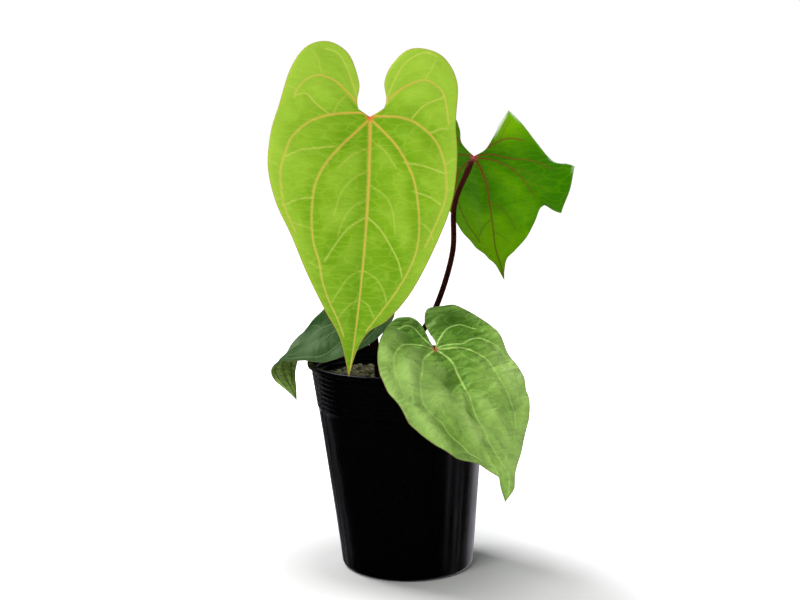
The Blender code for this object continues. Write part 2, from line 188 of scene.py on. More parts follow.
# The pierced floor: the same plate above and below, joined by the walls of its holes.
hole_angle = np.linspace(0.0, 2.0 * np.pi, DRAIN_TURNS, endpoint=False)
hole_rings = []
for bearing in 2.0 * np.pi * (np.arange(DRAIN_COUNT) + 0.5) / DRAIN_COUNT:
    hole_rings.append(revolve(DRAIN_RADIUS, 0.0, hole_angle, DRAIN_CIRCLE * np.cos(bearing),
                              DRAIN_CIRCLE * np.sin(bearing)))
plate_faces = np.array(tessellate_polygon([ring.tolist() for ring in [pot_points[:POT_TURNS]] + hole_rings]))
hole_points = np.concatenate(hole_rings)
under_holes = len(pot_points) + np.arange(len(hole_points))
top_holes = under_holes + len(hole_points)
under_index = np.concatenate([np.arange(POT_TURNS), under_holes])
top_index = np.concatenate([len(pot_points) - POT_TURNS + np.arange(POT_TURNS), top_holes])
pot_faces += under_index[plate_faces].tolist() + top_index[plate_faces[:, ::-1]].tolist()
for under, top in zip(np.split(under_holes, DRAIN_COUNT), np.split(top_holes, DRAIN_COUNT)):
    pot_faces += np.concatenate([under, top])[ring_quads(2, DRAIN_TURNS)].tolist()
pot_points = np.concatenate([pot_points, hole_points, hole_points + [0.0, 0.0, FLOOR]])
pot = new_object("nursery_pot_shell", pot_points, pot_faces)
weld(pot)


def node_tree(name):
    """A new material, its node tree and the Principled shader in it."""
    mat = bpy.data.materials.new(name)
    mat.use_nodes = True
    return mat, mat.node_tree, mat.node_tree.nodes["Principled BSDF"]


def plug(tree, value, socket):
    """Feeds a socket from another node's output, or sets it to a plain value."""
    if isinstance(value, bpy.types.NodeSocket):
        tree.links.new(value, socket)
    else:
        socket.default_value = value


def add_node(tree, kind, **sockets):
    """A node of this kind; a word sets an input by name, from a value or from another node's output."""
    node = tree.nodes.new(kind)
    for word, value in sockets.items():
        plug(tree, value, node.inputs[word.replace("_", " ")])
    return node


def blend(tree, factor, first, second):
    """The colour between first and second that factor gives."""
    node = tree.nodes.new("ShaderNodeMix")
    node.data_type = "RGBA"
    for index, value in ((0, factor), (6, first), (7, second)):
        plug(tree, (*value, 1.0) if isinstance(value, tuple) else value, node.inputs[index])
    return node.outputs[2]


def spread(tree, value, low, high, to_low=0.0, to_high=1.0):
    """value carried from the range low..high to the range to_low..to_high, and held inside it."""
    return add_node(tree, "ShaderNodeMapRange", Value=value, From_Min=low, From_Max=high, To_Min=to_low,
                    To_Max=to_high).outputs["Result"]


def figure(tree, operation, *values):
    """What a Math node makes of one, two or three values."""
    node = tree.nodes.new("ShaderNodeMath")
    node.operation = operation
    for value, socket in zip(values, node.inputs):
        plug(tree, value, socket)
    return node.outputs["Value"]


def add_bump(tree, shader, strength, distance, height):
    """Fine relief of the shader's surface, from a height."""
    bump = add_node(tree, "ShaderNodeBump", Strength=strength, Distance=distance, Height=height)
    tree.links.new(bump.outputs["Normal"], shader.inputs["Normal"])


def black_plastic():
    """Glossy black plastic: faint scuffs and dust in the gloss, drawn out down the wall."""
    mat, tree, shader = node_tree("black_plastic_gloss")
    place = add_node(tree, "ShaderNodeTexCoord").outputs["Object"]
    drawn = add_node(tree, "ShaderNodeMapping", Vector=place, Scale=(260.0, 260.0, 14.0))
    streaks = add_node(tree, "ShaderNodeTexNoise", Vector=drawn.outputs["Vector"], Scale=1.0, Detail=4.0)
    dust = add_node(tree, "ShaderNodeTexNoise", Vector=place, Scale=900.0, Detail=3.0)
    cloud = add_node(tree, "ShaderNodeTexNoise", Vector=place, Scale=45.0, Detail=3.0)
    dusty = spread(tree, dust.outputs["Fac"], 0.62, 0.80)
    tree.links.new(blend(tree, dusty, (0.0005, 0.0005, 0.0006), (0.006, 0.0055, 0.006)),
                   shader.inputs["Base Color"])
    haze = figure(tree, "ADD", spread(tree, streaks.outputs["Fac"], 0.3, 0.7, 0.20, 0.34),
                  spread(tree, cloud.outputs["Fac"], 0.35, 0.75, 0.0, 0.10))
    tree.links.new(haze, shader.inputs["Roughness"])
    shader.inputs["Specular IOR Level"].default_value = 0.10
    add_bump(tree, shader, 0.10, 0.0004, streaks.outputs["Fac"])
    return mat


def fit(piece, node):
    """The piece rides on the plant's one body, and the CAD node it replaces is hidden."""
    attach(piece, "root")
    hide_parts(node)


pot.data.materials.append(black_plastic())
fit(pot, "nursery_pot")

# ---- Potting mix ---------------------------------------------------------------
# A coarse, airy mix poured into the pot: dark fine bark as the bed, with bark
# chips and pale pumice grains lying loose on top.  It is level with a line about
# 12 mm below the lip and lies against the pot's wall.

MIX_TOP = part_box("potting_mix")[1][2] / MM - 0.7
MIX_GAP = 0.1
SKIRT_DEPTH = 4.0
MIX_RINGS = 60
MIX_TURNS = 200
# (height in mm, distance between lumps in mm, seed)
MIX_LUMPS = ((1.6, 9.0, 3), (1.2, 3.1, 4), (0.7, 1.3, 5))
LATTICE = 64
CHIP_COUNT = 420
GRAIN_COUNT = 520
STONE_RINGS = 6
STONE_TURNS = 8
STONE_ROUGHNESS = 0.22
STONES_FROM_WALL = 1.6
STONES_FROM_CROWN = 1.0
crown_low, crown_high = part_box("crown_stem")
CROWN_X = 0.5 * (crown_low[0] + crown_high[0]) / MM
CROWN_Y = 0.5 * (crown_low[1] + crown_high[1]) / MM
CROWN_RADIUS = 0.5 * (crown_high[0] - crown_low[0]) / MM


def lumps(x, y, size, seed):
    """Smooth random heights: a random value at each crossing of a lattice, eased between crossings."""
    chance = np.random.default_rng(seed).random((LATTICE, LATTICE))
    across = x / size + 0.5 * LATTICE
    along = y / size + 0.5 * LATTICE
    column = np.floor(across).astype(int)
    row = np.floor(along).astype(int)
    right = across - column
    up = along - row
    right = right * right * (3.0 - 2.0 * right)
    up = up * up * (3.0 - 2.0 * up)
    low, top = [chance[line % LATTICE, column % LATTICE] * (1.0 - right)
                + chance[line % LATTICE, (column + 1) % LATTICE] * right for line in (row, row + 1)]
    return low * (1.0 - up) + top * up


def mix_height(x, y):
    """Bed of the mix: a level top with broad, middling and fine lumps."""
    level = MIX_TOP - MIX_LUMPS[0][0]
    for height, size, seed in MIX_LUMPS:
        level = level + height * lumps(x, y, size, seed)
    return level


def fan(ring, tip):
    """Triangles from each step of a ring of points to one point."""
    return np.stack([ring, np.roll(ring, -1), np.full(len(ring), tip)], axis=1)


mix_centre = POT_LEAN * MIX_TOP / POT_HEIGHT
mix_edge = wall_radius(MIX_TOP) - WALL - MIX_GAP
ring_part = np.linspace(0.0, 1.0, MIX_RINGS + 1)[1:, None]
mix_angle = np.linspace(0.0, 2.0 * np.pi, MIX_TURNS, endpoint=False)[None, :]
mix_x = mix_centre + mix_edge * ring_part * np.cos(mix_angle)
mix_y = mix_edge * ring_part * np.sin(mix_angle)
bed = np.stack([mix_x, mix_y, mix_height(mix_x, mix_y)], axis=-1)[::-1].reshape(-1, 3)
skirt_top = MIX_TOP - SKIRT_DEPTH
skirt = [revolve(radius, level, mix_angle[0], POT_LEAN * level / POT_HEIGHT)
         for level, radius in ((FLOOR + MIX_GAP, FOOT_RADIUS - 1.5),
                               (CORNER_HEIGHT, CORNER_RADIUS - WALL - 0.6),
                               (skirt_top, wall_radius(skirt_top) - WALL - MIX_GAP))]
bed_middle = float(mix_height(np.array(mix_centre), np.array(0.0)))
mix_points = np.concatenate(skirt + [bed, [[mix_centre, 0.0, bed_middle], [0.0, 0.0, FLOOR + MIX_GAP]]])
mix_rows = len(skirt) + MIX_RINGS
last_point = mix_rows * MIX_TURNS
mix_faces = ring_quads(mix_rows, MIX_TURNS).tolist()
mix_faces += fan(np.arange(last_point - MIX_TURNS, last_point), last_point).tolist()
mix_faces += fan(np.arange(MIX_TURNS), last_point + 1)[:, ::-1].tolist()
mix_bed = new_object("potting_mix_bed", mix_points, mix_faces)
weld(mix_bed)


def scatter(count, seed):
    """count places spread evenly at random over the bed, outside the crown."""
    chance = np.random.default_rng(seed)
    radius = (mix_edge - STONES_FROM_WALL) * np.sqrt(chance.random(count * 2))
    bearing = 2.0 * np.pi * chance.random(count * 2)
    x = mix_centre + radius * np.cos(bearing)
    y = radius * np.sin(bearing)
    clear = np.hypot(x - CROWN_X, y - CROWN_Y) > CROWN_RADIUS + STONES_FROM_CROWN
    return x[clear][:count], y[clear][:count], chance


def turned(first, second, angle):
    """Two coordinates turned together by an angle."""
    return first * np.cos(angle) - second * np.sin(angle), first * np.sin(angle) + second * np.cos(angle)


def loose_pieces(name, count, seed, sizes, flatness, roundness):
    """Many small stones in one mesh: a ball grid, squared off, stretched, roughened (each pole as one
    point), turned and laid on the bed."""
    x, y, chance = scatter(count, seed)
    count = len(x)
    turn = np.linspace(0.0, 2.0 * np.pi, STONE_TURNS, endpoint=False)
    rise = np.linspace(-0.5 * np.pi, 0.5 * np.pi, STONE_RINGS)[:, None]
    ball = revolve(np.cos(rise), np.sin(rise), turn, 0.0).reshape(-1, 3)
    size = sizes[0] + (sizes[1] - sizes[0]) * chance.random((count, 1)) ** 2
    stretch = np.concatenate([1.0 + 0.7 * chance.random((count, 1)), 0.8 + 0.3 * chance.random((count, 1)),
                              flatness * (0.8 + 0.4 * chance.random((count, 1)))], axis=1)
    rough = 1.0 + STONE_ROUGHNESS * (chance.random((count, len(ball), 1)) - 0.5)
    rough[:, :STONE_TURNS] = rough[:, :1]
    rough[:, -STONE_TURNS:] = rough[:, -1:]
    stones = squared(ball, roundness)[None] * rough * (size * stretch)[:, None, :]
    heading = 2.0 * np.pi * chance.random((count, 1))
    tilt = 0.5 * (chance.random((count, 1)) - 0.5)
    sway = 0.9 * (chance.random((count, 1)) - 0.5)
    a, b, c = stones[..., 0], stones[..., 1], stones[..., 2]
    a, c = turned(a, c, tilt)
    b, c = turned(b, c, sway)
    a, b = turned(a, b, heading)
    lift = mix_height(x, y)[:, None] + 0.35 * (size * stretch[:, 2:3])
    points = np.stack([x[:, None] + a, y[:, None] + b, lift + c], axis=-1).reshape(-1, 3)
    faces = ring_quads(STONE_RINGS, STONE_TURNS) + len(ball) * np.arange(count)[:, None, None]
    faces = faces.reshape(-1, 4)
    made = new_object(name, points, faces)
    weld(made)
    return made


bark = loose_pieces("bark_chips", CHIP_COUNT, 11, (0.9, 3.0), 0.42, 0.75)
pumice = loose_pieces("pumice_grains", GRAIN_COUNT, 23, (0.6, 2.1), 0.85, 0.9)


def crumbly(name, dark, light, scale, roughness, strength):
    """Earthy finish: two colours in patches of two sizes, fine grit in the bump."""
    mat, tree, shader = node_tree(name)
    place = add_node(tree, "ShaderNodeTexCoord").outputs["Object"]
    patches = add_node(tree, "ShaderNodeTexNoise", Vector=place, Scale=scale, Detail=5.0, Roughness=0.65)
    grit = add_node(tree, "ShaderNodeTexNoise", Vector=place, Scale=scale * 6.0, Detail=4.0, Roughness=0.7)
    mixed = spread(tree, patches.outputs["Fac"], 0.35, 0.68)
    tree.links.new(blend(tree, mixed, dark, light), shader.inputs["Base Color"])
    tree.links.new(spread(tree, grit.outputs["Fac"], 0.3, 0.7, roughness - 0.12, roughness + 0.05),
                   shader.inputs["Roughness"])
    add_bump(tree, shader, strength, 0.0006, grit.outputs["Fac"])
    return mat


mix_bed.data.materials.append(
    crumbly("fine_bark_bed", (0.12, 0.085, 0.070), (0.52, 0.40, 0.34), 500.0, 0.9, 0.8))
bark.data.materials.append(
    crumbly("bark_chip_brown", (0.14, 0.09, 0.065), (0.46, 0.35, 0.26), 420.0, 0.85, 0.7))
pumice.data.materials.append(
    crumbly("pale_pumice", (0.74, 0.58, 0.54), (0.98, 0.84, 0.82), 700.0, 0.95, 0.9))
for piece in (mix_bed, bark, pumice):
    fit(piece, "potting_mix")

# ---- Crown ---------------------------------------------------------------------
# The plant's short upright stem, a living stump with a rounded top.  Its skin is
# ringed by the scars of old leaves, and it roots in the mix below.

CROWN_BOTTOM = crown_low[2] / MM
CROWN_TOP = crown_high[2] / MM + 1.2
CROWN_RINGS = 60
CROWN_TURNS = 72
SCAR_COUNT = 5.0
SCAR_DEPTH = 0.35


def tube_faces(rows, columns):
    """Faces of a closed tube: quads between its rings, and one flat face over each end ring."""
    last = (rows - 1) * columns
    return ring_quads(rows, columns).tolist() + [list(range(columns - 1, -1, -1)),
                                                 list(range(last, last + columns))]


crown_part = np.linspace(0.0, 1.0, CROWN_RINGS)[:, None]
crown_angle = np.linspace(0.0, 2.0 * np.pi, CROWN_TURNS, endpoint=False)[None, :]
crown_level = CROWN_BOTTOM + (CROWN_TOP - CROWN_BOTTOM) * crown_part
scars = SCAR_DEPTH * np.abs(np.sin(np.pi * SCAR_COUNT * crown_part + 0.4 * np.sin(crown_angle))) ** 3
bulk = (CROWN_RADIUS - 0.5) * (1.0 - 0.9 * np.clip((crown_part - 0.62) / 0.38, 0.0, 1.0) ** 2.2) ** 0.5
crown_radius = bulk * (1.0 + 0.05 * np.sin(3.0 * crown_angle + 1.0)) - scars * (crown_part < 0.85)
crown_points = revolve(crown_radius, crown_level, crown_angle, CROWN_X, CROWN_Y).reshape(-1, 3)
crown = new_object("crown_skin", crown_points, tube_faces(CROWN_RINGS, CROWN_TURNS))
weld(crown)
crown.data.materials.append(
    crumbly("crown_bark", (0.05, 0.035, 0.015), (0.16, 0.13, 0.05), 300.0, 0.7, 0.5))
fit(crown, "crown_stem")

# ---- Front leaf ------------------------------------------------------------------
# The newest leaf: a long stalk that bends over at its top, and a large thin heart
# of lime green hanging from it.  Stout tan veins run out from the stalk, sunk in
# the upper face and proud of the under face, and the flesh puffs up between them.

LOBE_ROWS = 48
FAN_ROWS = 72
MIDRIB_ROWS = 192
CURVE_STEPS = 24
MIDRIB_TRAVEL = (-90.0, 170.0)
TRAVEL_STEPS = 521
BEND_SMOOTHING = 10
SWEEP_AT = 100.0
BLADE_HALF_THICKNESS = 0.2
EDGE_SHARE = 0.35
UPPER_GROOVE = 0.16
UNDER_RIDGE = 0.30
# Half width in mm at the start and at the end, and strength, of a midrib, a main vein,
# a side vein and a cross vein.
VEIN_RANKS = ((0.80, 0.36, 1.0), (0.52, 0.32, 0.9), (0.42, 0.30, 0.82), (0.34, 0.28, 0.50))
VEIN_STEPS = 100
VEIN_SEARCH = 9.0
NARROWEST_VEIN = 0.36
FAR_INSIDE = 30.0
SEAM_EASE = 0.3
FLAT_UNIT = 0.01
# How far from a vein the flesh has risen, how far in from the edge it has sunk, and
# how deep the edge's waves run, in mm.
PUFF_RISE = 5.0
PUFF_EDGE = 7.0
WAVE_REACH = 9.0
LUMP_SIZES = (11.0, 6.0)
CALM_AT_STALK = 60.0

# A leaf: where the stalk ends; which way the blade looks, dips and rolls; the angle of
# its bend to the midrib; how far its tip sweeps sideways; dip by distance along the
# midrib; slope of each half at the midrib and its easing per mm; the middles of the
# back lobes; the right and left outline from the notch to the tip; swells as (across,
# along, radius, height); then the relief, its seed, and grid rings above and below.
FRONT_LEAF = {
    "junction": (-21.0, -20.0, 259.0),
    "aim": (0.0, -75.5, 0.0),
    "turn": 0.0,
    "sweep": -5.6,
    "bend": ((-60, -9), (0, 0), (80, 3), (150, 6)),
    "fold": (8.0, -0.12),
    "lobes": ((28, -16), (-28, -18)),
    "right": ((0, 0), (6, -2), (9, -9), (8, -19), (12, -29), (21, -37), (32, -37),
              (42, -31), (48, -17), (47, 4), (48, 24), (46, 48), (38, 73), (28, 96),
              (17, 111), (7, 118), (2, 129), (0, 142)),
    "left": ((0, 0), (-5.5, -3), (-7, -9), (-6, -19), (-11, -34), (-19, -41),
             (-28, -42), (-37, -37), (-44, -25), (-50, -5), (-54, 10), (-55, 28),
             (-50, 47), (-40, 66), (-30, 86), (-18, 106), (-8, 121), (0, 142)),
    "swells": ((24, 20, 20, 1.2), (-26, 22, 20, 1.2), (22, 70, 16, 1.0), (-20, 74, 16, 1.0)),
    "puff": 0.8, "lumpiness": 0.7, "wave": 0.35, "seed": 31, "rings": (72, 44),
    "vein_width": 1.0,
}
FRONT_VEINS = (
    (0, ((0, 0), (0, 40), (0, 90), (0, 138))),
    (1, ((0, 1), (8, 9), (15, 17), (21, 27), (25.5, 38), (28.5, 55), (29, 70), (26, 83), (19, 97),
         (12, 108), (6, 117))),
    (1, ((0, 1), (-8, 9), (-16, 17), (-24, 27), (-29, 38), (-30, 50), (-29.5, 60), (-27.7, 70),
         (-24, 79.5), (-21.6, 89), (-17, 100), (-10.5, 111), (-6, 120))),
    (1, ((0, 0), (4.4, -0.1), (14, 0.4), (23, 3), (30, 8), (36, 14.4), (40, 23), (42, 32),
         (42.6, 43), (41, 51), (37, 62), (33, 72))),
    (1, ((0, 0), (-4.4, -2), (-14, -1.5), (-22, -0.5), (-30, 2), (-36.5, 6), (-43, 13), (-46, 21.6),
         (-48, 30), (-47.5, 38), (-45, 50), (-38, 64))),
    (1, ((0, 0), (5.5, -3.7), (11, -10), (16.5, -14.4), (23, -18), (30, -19.6), (35.7, -17),
         (39.5, -13), (41.6, -6), (43, 5))),
    (1, ((0, 0), (-7, -7.5), (-13.7, -14.5), (-20, -20), (-28, -22.5), (-35.6, -19.5), (-40, -14),
         (-41.5, -10))),
    (2, ((8.8, -8), (12, -17), (19, -29), (29, -35), (37, -33))),
    (2, ((-7, -9), (-9.4, -17.4), (-12.7, -26.8), (-18, -35.6), (-25, -38))),
    (2, ((0, 55), (-9, 61), (-15, 69), (-21, 79.5))),
    (2, ((0, 55), (7.7, 62), (14, 71), (19, 79.5), (22, 88))),
    (3, ((1, 38), (9.5, 44), (14, 52), (16.5, 65))),
    (3, ((-1, 30), (-9, 35), (-15, 43), (-18, 55))),
    (3, ((0, 46), (-8, 50), (-13, 58), (-15, 66))),
    (2, ((19, 26), (30, 28), (41, 32))),
    (2, ((25, 42), (33, 44.5), (40, 49))),
    (2, ((33, 10), (38, 8), (42.5, 7.5))),
    (2, ((23, 1.5), (30, -5.5), (41, -10))),
    (3, ((28, 58), (34, 62), (37, 68))),
    (2, ((-45, 22.5), (-36, 19), (-19, 17))),
    (2, ((-44, 49), (-38, 46), (-30, 45))),
    (2, ((-22, -0.5), (-30, -7), (-35, -12), (-41, -11))),
    (3, ((-27, -24), (-29, -32), (-33, -37))),
    (3, ((30, -19.6), (34, -26), (36, -31))),
    (3, ((0, 84), (-7, 88), (-12, 96), (-15, 102))),
    (3, ((0, 84), (8, 89), (13, 96), (15, 102))),
    (3, ((0, 100), (-5, 103), (-9, 108), (-11, 111))),
    (3, ((0, 100), (5, 103), (8, 108), (10, 111))),
    (3, ((-29, 62), (-36, 60), (-42, 58))),
    (3, ((-12, -13), (-18, -6), (-20, -1))),
    (3, ((-2, 18), (-10, 22), (-17, 29))),
    (3, ((2, 14), (9, 20), (15, 29))),
    (3, ((-50.5, 27), (-53.5, 26), (-55, 24))),
    (3, ((-46, 45), (-49, 46), (-51.5, 45))),
    (3, ((42, 27), (45, 25), (47.5, 24))),
    (3, ((42.6, 43), (44.5, 41), (46.5, 40))),
    (3, ((-40, -14), (-44, -16), (-47, -16))),
    (3, ((-22, 84), (-26, 82), (-29, 80))),
)
FRONT_STALK = ((-16.6, 0.8, 109.0), (-17.0, 0.6, 113.4), (-18.8, 2.0, 132.0), (-20.0, 2.6, 150.0),
               (-20.5, 5.0, 200.0), (-21.0, 3.0, 238.0), (-21.0, -6.0, 252.0))


def smooth_line(points, count):
    """A smooth curve through the points (each stretch a cubic matching the slopes of its neighbours),
    as count places equally far apart along it."""
    fixed = np.array(points, float)
    fixed = np.vstack([2.0 * fixed[0] - fixed[1], fixed, 2.0 * fixed[-1] - fixed[-2]])
    t = np.linspace(0.0, 1.0, CURVE_STEPS, endpoint=False)[None, :, None]
    before, start, end, beyond = [fixed[i:len(fixed) - 3 + i, None, :] for i in range(4)]
    stretch = 0.5 * (2.0 * start + (end - before) * t
                     + (2.0 * before - 5.0 * start + 4.0 * end - beyond) * t ** 2
                     + (3.0 * start - before - 3.0 * end + beyond) * t ** 3)
    fine = np.vstack([stretch.reshape(-1, fixed.shape[1]), fixed[-2][None]])
    travelled = np.concatenate([[0.0], np.cumsum(np.linalg.norm(np.diff(fine, axis=0), axis=1))])
    wanted = np.linspace(0.0, travelled[-1], count)
    return np.stack([np.interp(wanted, travelled, fine[:, axis]) for axis in range(fine.shape[1])], 1)


def half_blade(edge, lobe, rings):
    """Flat grid of one half of a blade: rows run from the stalk's end up the lobe, round its end, back
    and down the midrib; columns run from there straight out to the edge."""
    rim = smooth_line(edge, 2 * LOBE_ROWS + FAN_ROWS + MIDRIB_ROWS + 1)
    middle = np.array(lobe, float)
    up = np.linspace(0.0, 1.0, LOBE_ROWS + 1)[:, None] * middle
    round_end = np.repeat(middle[None], FAN_ROWS - 1, axis=0)
    midrib = np.linspace(0.0, 1.0, MIDRIB_ROWS + 1)[1:, None] * np.array(edge[-1], float)
    veins = np.vstack([up, round_end, up[::-1], midrib])
    outward = np.linspace(0.0, 1.0, rings + 1)[None, :, None]
    return veins[:, None, :] * (1.0 - outward) + rim[:, None, :] * outward, rim


def midrib_curve(bend, along):
    """Forward distance, height and slope at these distances along the midrib: the slope is read off
    the bend's steps, smoothed, and added up."""
    knots = np.array(bend, float)
    travel = np.linspace(*MIDRIB_TRAVEL, TRAVEL_STEPS)
    slope = np.radians(np.interp(travel, knots[:, 0], knots[:, 1]))
    window = 2 * BEND_SMOOTHING + 1
    slope = np.convolve(np.pad(slope, BEND_SMOOTHING, mode="edge"), np.ones(window) / window, mode="valid")
    forward = np.cumsum(np.cos(slope)) * (travel[1] - travel[0])
    height = -np.cumsum(np.sin(slope)) * (travel[1] - travel[0])
    return (np.interp(along, travel, forward - np.interp(0.0, travel, forward)),
            np.interp(along, travel, height - np.interp(0.0, travel, height)),
            np.interp(along, travel, slope))


def blade_surface(leaf, across, along):
    """Where points of the flattened blade end up: each half rises from the midrib on an arc, bell-shaped
    swells are added, the whole bends along the midrib or along a line turned from it, and then it is aimed
    and set at the stalk's end."""
    start = math.radians(leaf["fold"][0])
    ease = math.radians(leaf["fold"][1])
    wide = np.abs(across)
    side = np.sign(across) * (np.sin(start + ease * wide) - math.sin(start)) / ease
    rise = (math.cos(start) - np.cos(start + ease * wide)) / ease
    for swell_across, swell_along, radius, height in leaf["swells"]:
        apart = (across - swell_across) ** 2 + (along - swell_along) ** 2
        rise = rise + height * np.exp(-apart / radius ** 2)
    turn = math.radians(leaf["turn"])
    forward, drop, slope = midrib_curve(leaf["bend"], along * math.cos(turn) - side * math.sin(turn))
    side = side * math.cos(turn) + along * math.sin(turn)
    side = side + leaf["sweep"] * np.maximum(along, 0.0) ** 2 / SWEEP_AT ** 2
    forward = forward + rise * np.sin(slope)
    height = drop + rise * np.cos(slope)
    bearing, dip, roll = [math.radians(value) for value in leaf["aim"]]
    ahead = np.array([math.sin(bearing) * math.cos(dip), -math.cos(bearing) * math.cos(dip), math.sin(dip)])
    upward = np.array([-math.sin(bearing) * math.sin(dip), math.cos(bearing) * math.sin(dip), math.cos(dip)])
    sideways = np.cross(upward, ahead)
    upward = upward * math.cos(roll) + sideways * math.sin(roll)
    sideways = np.cross(upward, ahead)
    ahead = ahead * math.cos(turn) - sideways * math.sin(turn)
    sideways = np.cross(upward, ahead)
    return (np.array(leaf["junction"]) + side[..., None] * sideways
            + forward[..., None] * ahead + height[..., None] * upward)


def blade_normal(leaf, across, along):
    """Direction square to the upper face: the cross product of the steps along and across."""
    reach = 0.2
    sideways = blade_surface(leaf, across + reach, along) - blade_surface(leaf, across - reach, along)
    ahead = blade_surface(leaf, across, along + reach) - blade_surface(leaf, across, along - reach)
    normal = np.cross(ahead, sideways)
    return normal / np.linalg.norm(normal, axis=-1, keepdims=True)


def vein_fields(across, along, veins, width):
    """For places on the flat blade: how much each lies on any vein and on a stout one (a bell curve of the
    distance to the vein, as wide as the vein is there), and how far the nearest main vein is."""
    place = np.stack([across.ravel(), along.ravel()], axis=1)
    vein = np.zeros(len(place))
    stout = np.zeros(len(place))
    away = np.full(len(place), FAR_INSIDE)
    for rank, points in veins:
        wide_start, wide_end, strength = VEIN_RANKS[rank]
        line = smooth_line(points, VEIN_STEPS)
        inside = (place > line.min(axis=0) - VEIN_SEARCH) & (place < line.max(axis=0) + VEIN_SEARCH)
        near = np.nonzero(np.all(inside, axis=1))[0]
        step = np.diff(line, axis=0)
        offset = place[near, None, :] - line[None, :-1, :]
        part = np.clip((offset * step).sum(axis=2) / (step ** 2).sum(axis=1), 0.0, 1.0)
        gap = np.linalg.norm(offset - part[..., None] * step, axis=2)
        closest = gap.argmin(axis=1)
        distance = gap[np.arange(len(near)), closest]
        half_width = width * (wide_start + (wide_end - wide_start) * closest / (VEIN_STEPS - 2.0))
        mask = strength * np.exp(-(distance / np.maximum(half_width, NARROWEST_VEIN)) ** 2)
        vein[near] = np.maximum(vein[near], mask)
        if rank < 2:
            stout[near] = np.maximum(stout[near], mask * (1.0 - 0.5 * closest / (VEIN_STEPS - 2.0)))
        if rank < 3:
            away[near] = np.minimum(away[near], distance)
    return vein.reshape(across.shape), stout.reshape(across.shape), away.reshape(across.shape)


def blade_sheet(leaf, veins, edge, lobe, rings, side):
    """One face of one half of a blade: the smooth surface pushed along its normal by puffed flesh between
    the veins, slow lumps, waves at the edge, half the thickness and the vein's own groove or ridge.  The
    distance to the edge is eased to one value along the seams, so that both sides of a seam meet."""
    flat, rim = half_blade(edge, lobe, rings)
    across = flat[..., 0]
    along = flat[..., 1]
    vein, stout, away = vein_fields(across, along, veins, leaf["vein_width"])
    outward = np.linspace(0.0, 1.0, rings + 1)
    inset = np.linalg.norm(flat - rim[:, None, :], axis=2) / np.clip(outward / SEAM_EASE, 0.001, 1.0)
    inset = np.minimum(inset, FAR_INSIDE)
    inset[:-1, 0] = FAR_INSIDE
    bearing = np.arctan2(across, along - 40.0)
    calm = 1.0 - np.exp(-(across ** 2 + along ** 2) / CALM_AT_STALK)
    puffed = (leaf["puff"] * (1.0 - np.exp(-(away / PUFF_RISE) ** 2))
              * np.clip(inset / PUFF_EDGE, 0.0, 1.0))
    lumpy = leaf["lumpiness"] * (lumps(across, along, LUMP_SIZES[0], leaf["seed"])
                                 + 0.5 * lumps(across, along, LUMP_SIZES[1], leaf["seed"] + 1) - 0.75)
    waves = (leaf["wave"] * np.exp(-(inset / WAVE_REACH) ** 2)
             * np.sin(11.0 * bearing + 1.3 * np.sin(3.0 * bearing)))
    relief = (puffed + lumpy + waves) * calm
    groove = vein * (UPPER_GROOVE if side > 0 else UNDER_RIDGE)
    thick = BLADE_HALF_THICKNESS * np.clip(inset / 2.0 + EDGE_SHARE, 0.0, 1.0)
    push = relief + side * thick - groove if side > 0 else relief - thick - groove
    normal = blade_normal(leaf, across, along)
    points = blade_surface(leaf, across, along) + push[..., None] * normal
    under = np.full(across.shape, 0.0 if side > 0 else 1.0)
    height = 0.5 + 0.5 * (puffed + lumpy - 0.5 * leaf["puff"]) / (leaf["puff"] + leaf["lumpiness"])
    return points, {"vein": vein, "stout": stout, "inset": inset, "from_stalk": np.hypot(across, along),
                    "under": under, "height": height}, flat


def build_blade(name, leaf, veins):
    """A closed blade: upper and under sheets of both halves, joined round the edge by a narrow strip."""
    points = []
    faces = []
    fields = {}
    flats = []
    count = 0
    for edge, lobe, mirror in ((leaf["right"], leaf["lobes"][0], 1), (leaf["left"], leaf["lobes"][1], -1)):
        rims = []
        for rings, side in zip(leaf["rings"], (1, -1)):
            sheet, values, flat = blade_sheet(leaf, veins, edge, lobe, rings, side)
            rows, columns = sheet.shape[:2]
            quads = ring_quads(rows, columns, closed=False) + count
            faces.append(quads if mirror * side > 0 else quads[:, ::-1])
            rims.append(count + np.arange(rows) * columns + columns - 1)
            points.append(sheet.reshape(-1, 3))
            flats.append(flat.reshape(-1, 2))
            for word, value in values.items():
                fields.setdefault(word, []).append(value.ravel())
            count += rows * columns
        strip = np.stack([rims[0][:-1], rims[0][1:], rims[1][1:], rims[1][:-1]], axis=1)
        faces.append(strip if mirror > 0 else strip[:, ::-1])
    made = new_object(name, np.concatenate(points), np.concatenate(faces))
    mesh = made.data
    for word, values in fields.items():
        mesh.attributes.new(word, "FLOAT", "POINT").data.foreach_set("value", np.concatenate(values))
    corner = np.empty(len(mesh.loops), int)
    mesh.loops.foreach_get("vertex_index", corner)
    flat_place = np.concatenate(flats)[corner] * FLAT_UNIT
    mesh.uv_layers.new(name="flat_blade").data.foreach_set("uv", flat_place.ravel())
    weld(made)
    return made


def distance_from(tree, place, fixed):
    """How far a place is from a fixed one."""
    gap = add_node(tree, "ShaderNodeVectorMath", Vector=place)
    gap.operation = "DISTANCE"
    gap.inputs[1].default_value = fixed
    return gap.outputs["Value"]


